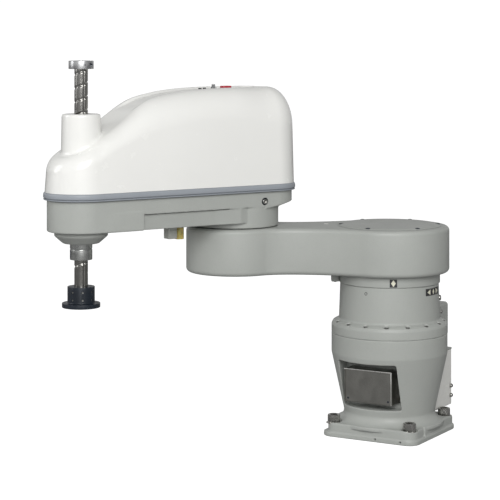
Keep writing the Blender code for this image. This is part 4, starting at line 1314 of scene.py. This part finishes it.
def arm_2_cover():
    dome = loft(cover_rows(), caps=False)
    shape = bmesh.new()
    shape.from_mesh(dome)
    bmesh.ops.holes_fill(shape, edges=[edge for edge in shape.edges if edge.is_boundary])
    bmesh.ops.remove_doubles(shape, verts=shape.verts, dist=0.00005)
    bmesh.ops.recalc_face_normals(shape, faces=shape.faces)
    shape.to_mesh(dome)
    shape.free()
    radius = 0.0355
    tower = revolve(
        fillet(
            [
                (0.0, 0.6270), (radius, 0.6270), (radius + 0.0015, 0.545), (radius + 0.0015, 0.500),
                (0.0, 0.500),
            ],
            {1: 0.0040, 2: 0.0},
            6,
        ),
        160,
    )
    solid = cast(merged(dome, moved(tower, (REACH_2, 0.0, 0.0))), 0.0014, 6)

    def near_foot(point):
        x, y = point.x - REACH_2, point.y
        reach = math.hypot(x, y)
        junction = roof_height(REACH_2 + 0.0362 * x / reach) if reach > 0.01 else 0.7
        away = math.hypot(reach - 0.0362, point.z - junction)
        return 1 - smooth_step(0.006, 0.016, away)

    solid = softened(solid, near_foot, 36)
    shaft_hole = moved(rod(0.0165, 0.600, 0.660, 96), (REACH_2, 0.0, 0.0))
    button_hole = slab(rounded_rectangle((0.0290, 0.0160), (0.0520, 0.0330), 0.004, 6), 0.635, 0.700)
    solid = combined(solid, [shaft_hole, button_hole])
    shape = bmesh.new()
    shape.from_mesh(solid)
    everything = shape.verts[:] + shape.edges[:] + shape.faces[:]
    bmesh.ops.bisect_plane(
        shape,
        geom=everything,
        plane_co=(0.0, 0.0, COVER_BOTTOM),
        plane_no=(0.0, 0.0, 1.0),
        clear_inner=True,
    )
    floors = []
    for face in shape.faces:
        centre = face.calc_center_median()
        in_tower = face.normal.z > 0.9 and math.hypot(
            centre.x - REACH_2, centre.y
        ) < 0.0167 and centre.z < 0.61
        in_button = face.normal.z > 0.9 and abs(
            centre.x - 0.0405
        ) < 0.012 and centre.z < 0.645 and abs(centre.y - 0.0245) < 0.009
        if in_tower or in_button:
            floors.append(face)
    bmesh.ops.delete(shape, geom=floors, context="FACES")
    shape.to_mesh(solid)
    shape.free()
    obj = working(solid)
    wall = obj.modifiers.new("Wall", "SOLIDIFY")
    wall.thickness = COVER_WALL
    wall.offset = -1.0
    piece("link_2_cover", evaluated(obj), "arm_2", COVER, ["arm2_cover"], 60.0)


def roof_fittings():
    lowest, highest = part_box("button_plate")
    seat, plate_top = lowest.z, highest.z
    outline = rounded_rectangle((0.0225, 0.0130), (0.0790, 0.0342), 0.005, 6)
    hole = slab(rounded_rectangle((0.0297, 0.0167), (0.0513, 0.0323), 0.0035, 6), 0.600, 0.700)
    plate = combined(slab(outline, seat - 0.0012, plate_top, 0.0006), [hole])
    piece("roof_plate", plate, "arm_2", PLASTIC, ["button_plate"])
    for number, (x, y) in enumerate(((0.0680, 0.0200), (0.0720, 0.0298)), 1):
        node = f"air_coupling_{number}"
        foot, tip = low(node), high(node)
        flats = [hexagon(0.0076, height, 36) for height in (foot, foot + 0.0026)]
        nut = loft(flats + [circle(0.0032, foot + 0.0031, 36)])
        barbs = []
        for step in range(4):
            height = foot + 0.0030 + step * 0.0014
            barbs += [(0.0018, height), (0.0024, height + 0.0003), (0.0019, height + 0.0013)]
        stem = [(0.0, foot + 0.002), (0.0018, foot + 0.002)] + barbs
        stem += [
            (0.0018, tip - 0.0002), (0.0015, tip), (0.0010, tip), (0.0010, tip - 0.004),
            (0.0, tip - 0.004),
        ]
        nipple = combined(nut, [revolve(stem, 32)], "UNION")
        piece(
            f"air_nipple_{number}",
            moved(nipple, (x, y, 0.0)),
            "arm_2",
            ALUMINIUM,
            [node],
            slot="bright_steel",
        )
    places = [(x, y, roof_height(x) - 0.0047) for x, y in ((0.0905, 0.0240), (0.1005, 0.0235))]
    head = lambda: cap_head(0.0032, 0.0060, 0.0030, 32)
    set_of("roof_plugs", head, places, (0.0, 0.0, 0.0), "arm_2", PLASTIC)
    foot, top = low("brake_button"), high("brake_button") + 0.0012
    cap = slab(rounded_rectangle((0.0305, 0.0175), (0.0505, 0.0315), 0.003, 8), foot, top, 0.0014, 5)
    ridges = [
        block((x, 0.0200, top - 0.0005), (x + 0.0010, 0.0290, top + 0.01))
        for x in (0.0350, 0.0380, 0.0410, 0.0440)
    ]
    piece("brake_release_cap", combined(cap, ridges), "brake_release", RED, ["brake_button"])


def arm_2_underside():
    top = high("spline_housing")
    flange_top = CASTING_BOTTOM - 0.0003
    bottom = low("spline_housing")
    profile = [
        (0.0290, top), (0.0335, top), (0.0335, flange_top), (0.0490, flange_top), (0.0490, 0.4052),
        (0.0470, 0.4030), (0.0345, bottom + 0.0012), (0.0325, bottom), (0.0215, bottom),
        (0.0215, bottom + 0.004), (0.0290, bottom + 0.004),
    ]
    housing = cast(moved(revolve(profile, 160, closed=True), (REACH_2, 0.0, 0.0)), 0.0009, 2)
    piece("nose_bearing_housing", housing, "arm_2", ROUGH_PAINT, ["spline_housing"], 50.0)
    lowest, highest = low("j2_bumper"), high("j2_bumper")
    bumper = combined(
        revolve(
            fillet([(0.0, highest), (0.0088, highest), (0.0088, lowest), (0.0, lowest)], 0.0014, 5), 64
        ),
        [rod(0.0040, lowest - 0.01, lowest + 0.0045, 32)],
    )
    piece("urethane_bumper", moved(bumper, (0.132, 0.0, 0.0)), "arm_2", AMBER, ["j2_bumper"])
    screw = moved(cap_head(0.0035, 0.0035, 0.0030, 32), (0.132, 0.0, lowest + 0.0045), DOWNWARD)
    piece("bumper_screw", screw, "arm_2", STEEL)
    lowest, highest = low("j2_stop_bracket"), high("j2_stop_bracket")
    bracket = combined(
        box((0.1425, -0.0095, lowest), (0.1620, 0.0095, highest), 0.0022, 4),
        [
            moved(rod(0.0031, lowest - 0.01, lowest + 0.006, 32), (0.153, y, 0.0))
            for y in (-0.0046, 0.0046)
        ],
    )
    # Painted light: the bracket's paint is paler than the casting's to lift it out of shade.
    piece("stop_backing", bracket, "arm_2", SHADE_LIFTED_PAINT, ["j2_stop_bracket"])
    places = [(0.153, y, lowest + 0.006) for y in (-0.0046, 0.0046)]
    head = lambda: cap_head(0.0028, 0.0050, 0.0026, 32)
    set_of("stop_backing_screws", head, places, DOWNWARD, "arm_2", STEEL)


# ---------------------------------------------------------------- shaft and tool

SHAFT_RADIUS = 0.0125
SHAFT_BORE = 0.007
LEAD = 0.025
COLLAR_TURN = 150.0


def groove_depth(angle, height, bottom, top):
    """How deep the ball grooves cut at this place: one helix, and three straight ones."""
    helix_half, spline_half, depth = 0.0021, 0.0021, 0.0014
    run_in = smooth_step(bottom + 0.060, bottom + 0.0645, height)
    across = ((angle / (2 * math.pi) - height / LEAD + 0.5) % 1.0 - 0.5) * LEAD * 0.953
    helix = depth * math.sqrt(max(0.0, 1 - (across / helix_half) ** 2)) * run_in
    sideways = ((angle / (2 * math.pi / 3) + 0.30 + 0.5) % 1.0 - 0.5) * (2 * math.pi / 3) * SHAFT_RADIUS
    straight = depth * math.sqrt(max(0.0, 1 - (sideways / spline_half) ** 2))
    straight *= smooth_step(bottom + 0.020, bottom + 0.024, height) * (
        1 - smooth_step(top - 0.018, top - 0.014, height)
    )
    return max(helix * (1 - smooth_step(top - 0.018, top - 0.014, height)), straight)


def spline_shaft():
    bottom, top = low("spline_shaft"), high("spline_shaft")
    steps, rings = 144, 420
    edge = 0.0008
    rows = [
        circle(SHAFT_BORE, top - 0.030, steps),
        circle(SHAFT_BORE, top - edge, steps),
        circle(SHAFT_BORE + edge, top, steps),
    ]
    rows += [circle(SHAFT_RADIUS - edge, top, steps)]
    for ring_number in range(rings + 1):
        height = top - edge - (top - bottom - 2 * edge) * ring_number / rings
        angles = [2 * math.pi * i / steps for i in range(steps)]
        row = [turned(SHAFT_RADIUS - groove_depth(a, height, bottom, top), a, height) for a in angles]
        rows.append(row)
    rows += [circle(SHAFT_RADIUS - edge, bottom, steps), circle(SHAFT_BORE + edge, bottom, steps)]
    rows += [circle(SHAFT_BORE, bottom + edge, steps)]
    shaft = loft(rows + [rows[0]], caps=False)
    piece("grooved_shaft", shaft, "shaft", SHAFT_STEEL, ["spline_shaft"], 40.0)


def sleeve():
    """The nut that turns the shaft: a ground sleeve standing out below the housing, its slot drawn as a
    dark strip of painted shade.
    """
    bottom, top = low("spline_nut"), high("spline_nut")
    radius = 0.0205
    profile = [
        (0.0170, top), (radius, top), (radius, bottom + 0.0208), (radius - 0.0006, bottom + 0.0203),
        (radius - 0.0006, bottom + 0.0188), (radius, bottom + 0.0183), (radius, bottom),
        (0.0165, bottom), (0.0150, bottom + 0.0015), (0.0150, bottom + 0.0060),
        (0.0132, bottom + 0.0062), (0.0132, top), (0.0170, top),
    ]
    body = revolve(fillet(profile, 0.0005, 3), 144)
    piece("ground_sleeve", body, "nut", SLEEVE_STEEL, ["spline_nut"])
    # Painted shade: a dark strip on the sleeve's face at each slot.
    slot_shades = [
        curved_band(0.0044, 0.0150, radius - 0.0002, 0.0004, angle, bottom + 0.0105, 6)
        for angle in (-14.0, 166.0)
    ]
    piece("sleeve_slot_shades", merged(*slot_shades), "nut", OXIDE)


def top_collar():
    bottom, top = low("top_collar"), high("top_collar")
    body = ring(SHAFT_RADIUS + 0.0003, 0.0230, bottom, top, 0.0009, 144)
    middle = (bottom + top) / 2
    bolt_side = -0.0085
    cuts = [
        block((0.005, -0.0008, bottom - 0.01), (0.030, 0.0008, top + 0.01)),
        moved(rod(0.0036, bolt_side - 0.020, bolt_side, 32), turn=(-90.0, 0.0, 0.0)),
        moved(rod(0.0017, -0.030, 0.030, 24), turn=(90.0, 0.0, 0.0)),
    ]
    for cutter in cuts[1:]:
        moved(cutter, (0.0178, 0.0, middle))
    key_hole = moved(rod(0.0015, 0.0160, 0.030, 24), (0.0, 0.0, middle), FORWARD)
    cuts.append(spun(key_hole, 76.0 - COLLAR_TURN))
    body = spun(combined(body, cuts), COLLAR_TURN)
    piece("clamp_collar", body, "shaft", ALUMINIUM, ["top_collar"])
    screw = moved(
        cap_head(0.0032, 0.0045, 0.0028, 32), (0.0178, bolt_side + 0.0003, middle), (90.0, 0.0, 0.0)
    )
    piece("clamp_collar_screw", spun(screw, COLLAR_TURN), "shaft", OXIDE)


def tool_hub():
    face, top = low("tool_flange"), high("tool_flange")
    fit = SHAFT_RADIUS + 0.0003
    flange_top = face + 0.008
    profile = [
        (0.0190, top), (0.0250, top), (0.0250, flange_top + 0.0012), (0.0262, flange_top),
        (0.0350, flange_top), (0.0350, face), (fit, face), (fit, top), (0.0190, top),
    ]
    body = revolve(fillet(profile, 0.0007, 3), 160)
    cuts = []
    for number in range(4):
        place = turned(0.0308, math.radians(45.0 + 90.0 * number))
        cuts.append(moved(rod(0.0017, face - 0.01, flange_top + 0.01, 24), place))
    screws = []
    for height in (0.289, 0.303):
        for number in range(8):
            turn = (0.0, 0.0, 20.0 + 45.0 * number)
            hole = moved(rod(0.0021, 0.0225, 0.030, 24), turn=FORWARD)
            cuts.append(moved(hole, (0.0, 0.0, height), turn))
            screw = moved(cap_head(0.0019, 0.0016, 0.0018, 20), (0.0225, 0.0, 0.0), FORWARD)
            screws.append(moved(screw, (0.0, 0.0, height), turn))
    piece("tool_hub", combined(body, cuts), "shaft", OXIDE, ["tool_flange"])
    piece("tool_hub_set_screws", merged(*screws), "shaft", SCREW_GREY)


# ---------------------------------------------------------------- inner parts that keep their CAD shape

INNER = {
    MOTOR: ["j1_motor", "j2_motor", "rotation_motor", "z_motor"],
    RUBBER: ["rotation_belt", "z_belt"],
    ALUMINIUM: [
        "rotation_bracket", "z_bracket", "nut_bridge", "spline_pulley", "screw_pulley",
        "rotation_motor_pulley", "z_motor_pulley",
    ],
}


def dress_inner_parts():
    shown = [name for name, node in NODES.items() if not node.hide_render]
    finish = {name: look for look, names in INNER.items() for name in names}
    for name in shown:
        node = NODES[name]
        node.data.materials.clear()
        node.data.materials.append(finish.get(name, STEEL))


# ---------------------------------------------------------------- stage, lights and camera


def build_stage():
    """A pale floor, reaching far out on every side."""
    look = Nodes("pale_floor_mat")
    tone = look.ramp(look.noise(1.5, 3.0), [(0.3, (0.35, 0.35, 0.35)), (0.7, (0.37, 0.37, 0.37))])
    seen = look.add("ShaderNodeLightPath").outputs["Is Camera Ray"]
    look.set(
        Base_Color=tone,
        Roughness=1.0,
        Specular_IOR_Level=0.0,
        Emission_Strength=look.maths("MULTIPLY", seen, 0.94),
    )
    look.set(Emission_Color=(1.0, 1.0, 1.0, 1.0))
    half = 14.0
    floor = bpy.data.objects.new(
        "floor", slab([(-half, -half), (half, -half), (half, half), (-half, half)], -0.02, -0.0004)
    )
    floor.data.materials.append(look.material)
    SCENE.collection.objects.link(floor)


def area_light(name, location, target, size, power, colour=(1.0, 1.0, 1.0)):
    data = bpy.data.lights.new(name, "AREA")
    data.shape = "RECTANGLE"
    data.size, data.size_y = size
    data.energy = power
    data.color = colour
    light = bpy.data.objects.new(name, data)
    light.location = location
    light.visible_camera = False
    light.rotation_euler = (Vector(target) - Vector(location)).to_track_quat("-Z", "Y").to_euler()
    SCENE.collection.objects.link(light)


FRONT = (0.906, 0.423, 0.0)


def world_ramp(tree, place, direction, stops):
    """A grey that depends on how far a direction leans towards the one given: 0.5 is square to it."""
    dot = tree.nodes.new("ShaderNodeVectorMath")
    dot.operation = "DOT_PRODUCT"
    dot.inputs[1].default_value = direction
    half = tree.nodes.new("ShaderNodeMath")
    half.operation = "MULTIPLY_ADD"
    half.inputs[1].default_value = 0.5
    half.inputs[2].default_value = 0.5
    ramp = tree.nodes.new("ShaderNodeValToRGB")
    fill_ramp(ramp, stops)
    tree.links.new(place.outputs["Generated"], dot.inputs[0])
    tree.links.new(dot.outputs["Value"], half.inputs[0])
    tree.links.new(half.outputs[0], ramp.inputs["Fac"])
    return ramp.outputs["Color"]


def build_world():
    """White to the camera; to everything else a soft room, brightest in front and dimmer at the sides."""
    world = bpy.data.worlds.new("studio")
    world.use_nodes = True
    tree = world.node_tree
    tree.nodes.clear()
    link = tree.links.new
    output = tree.nodes.new("ShaderNodeOutputWorld")
    choose = tree.nodes.new("ShaderNodeMixShader")
    path = tree.nodes.new("ShaderNodeLightPath")
    plain = tree.nodes.new("ShaderNodeBackground")
    plain.inputs["Color"].default_value = (1.0, 1.0, 1.0, 1.0)
    plain.inputs["Strength"].default_value = 1.05
    soft = tree.nodes.new("ShaderNodeBackground")
    soft.inputs["Strength"].default_value = 1.0
    place = tree.nodes.new("ShaderNodeTexCoord")
    facing = world_ramp(
        tree, place, FRONT, ((0.0, 0.62), (0.30, 0.42), (0.50, 0.34), (0.72, 0.60), (1.0, 0.95))
    )
    rising = world_ramp(
        tree, place, (0.0, 0.0, 1.0), ((0.30, 0.65), (0.50, 1.0), (0.62, 0.85), (1.0, 0.45))
    )
    product = tree.nodes.new("ShaderNodeMix")
    product.data_type, product.blend_type = "RGBA", "MULTIPLY"
    product.inputs[0].default_value = 1.0
    link(facing, product.inputs[6])
    link(rising, product.inputs[7])
    link(product.outputs[2], soft.inputs["Color"])
    link(path.outputs["Is Camera Ray"], choose.inputs["Fac"])
    link(soft.outputs[0], choose.inputs[1])
    link(plain.outputs[0], choose.inputs[2])
    link(choose.outputs[0], output.inputs["Surface"])
    SCENE.world = world


def build_camera():
    data = bpy.data.cameras.new("photo_view")
    data.lens = 129.6
    data.sensor_width = 36.0
    data.shift_y = -0.44
    data.clip_end = 60.0
    camera = bpy.data.objects.new("photo_view", data)
    camera.location = (3.166, 1.515, 0.780)
    camera.rotation_euler = (math.radians(90.0), 0.0, math.radians(120.0))
    SCENE.collection.objects.link(camera)
    SCENE.camera = camera


def build_lights():
    middle = (0.22, -0.20, 0.40)
    area_light("key", (2.65, 1.38, 1.75), middle, (1.8, 1.8), 72.0, (1.0, 0.997, 0.99))
    area_light("left", (1.9, -2.6, 1.4), middle, (1.0, 1.6), 17.0)


base_casting()
anchor_bolts()
access_box()
column_housing()
neck_details()
fixed_stop()
duct_cover()
connector_panel()
rear_connectors()
arm_1_casting()
arm_1_lid()
arm_1_underside()
arm_2_casting()
arm_2_gasket()
arm_2_cover()
roof_fittings()
arm_2_underside()
spline_shaft()
sleeve()
top_collar()
tool_hub()
dress_inner_parts()
build_stage()
build_world()
build_camera()
build_lights()
SCENE.view_settings.view_transform = "Standard"

bpy.context.view_layer.update()
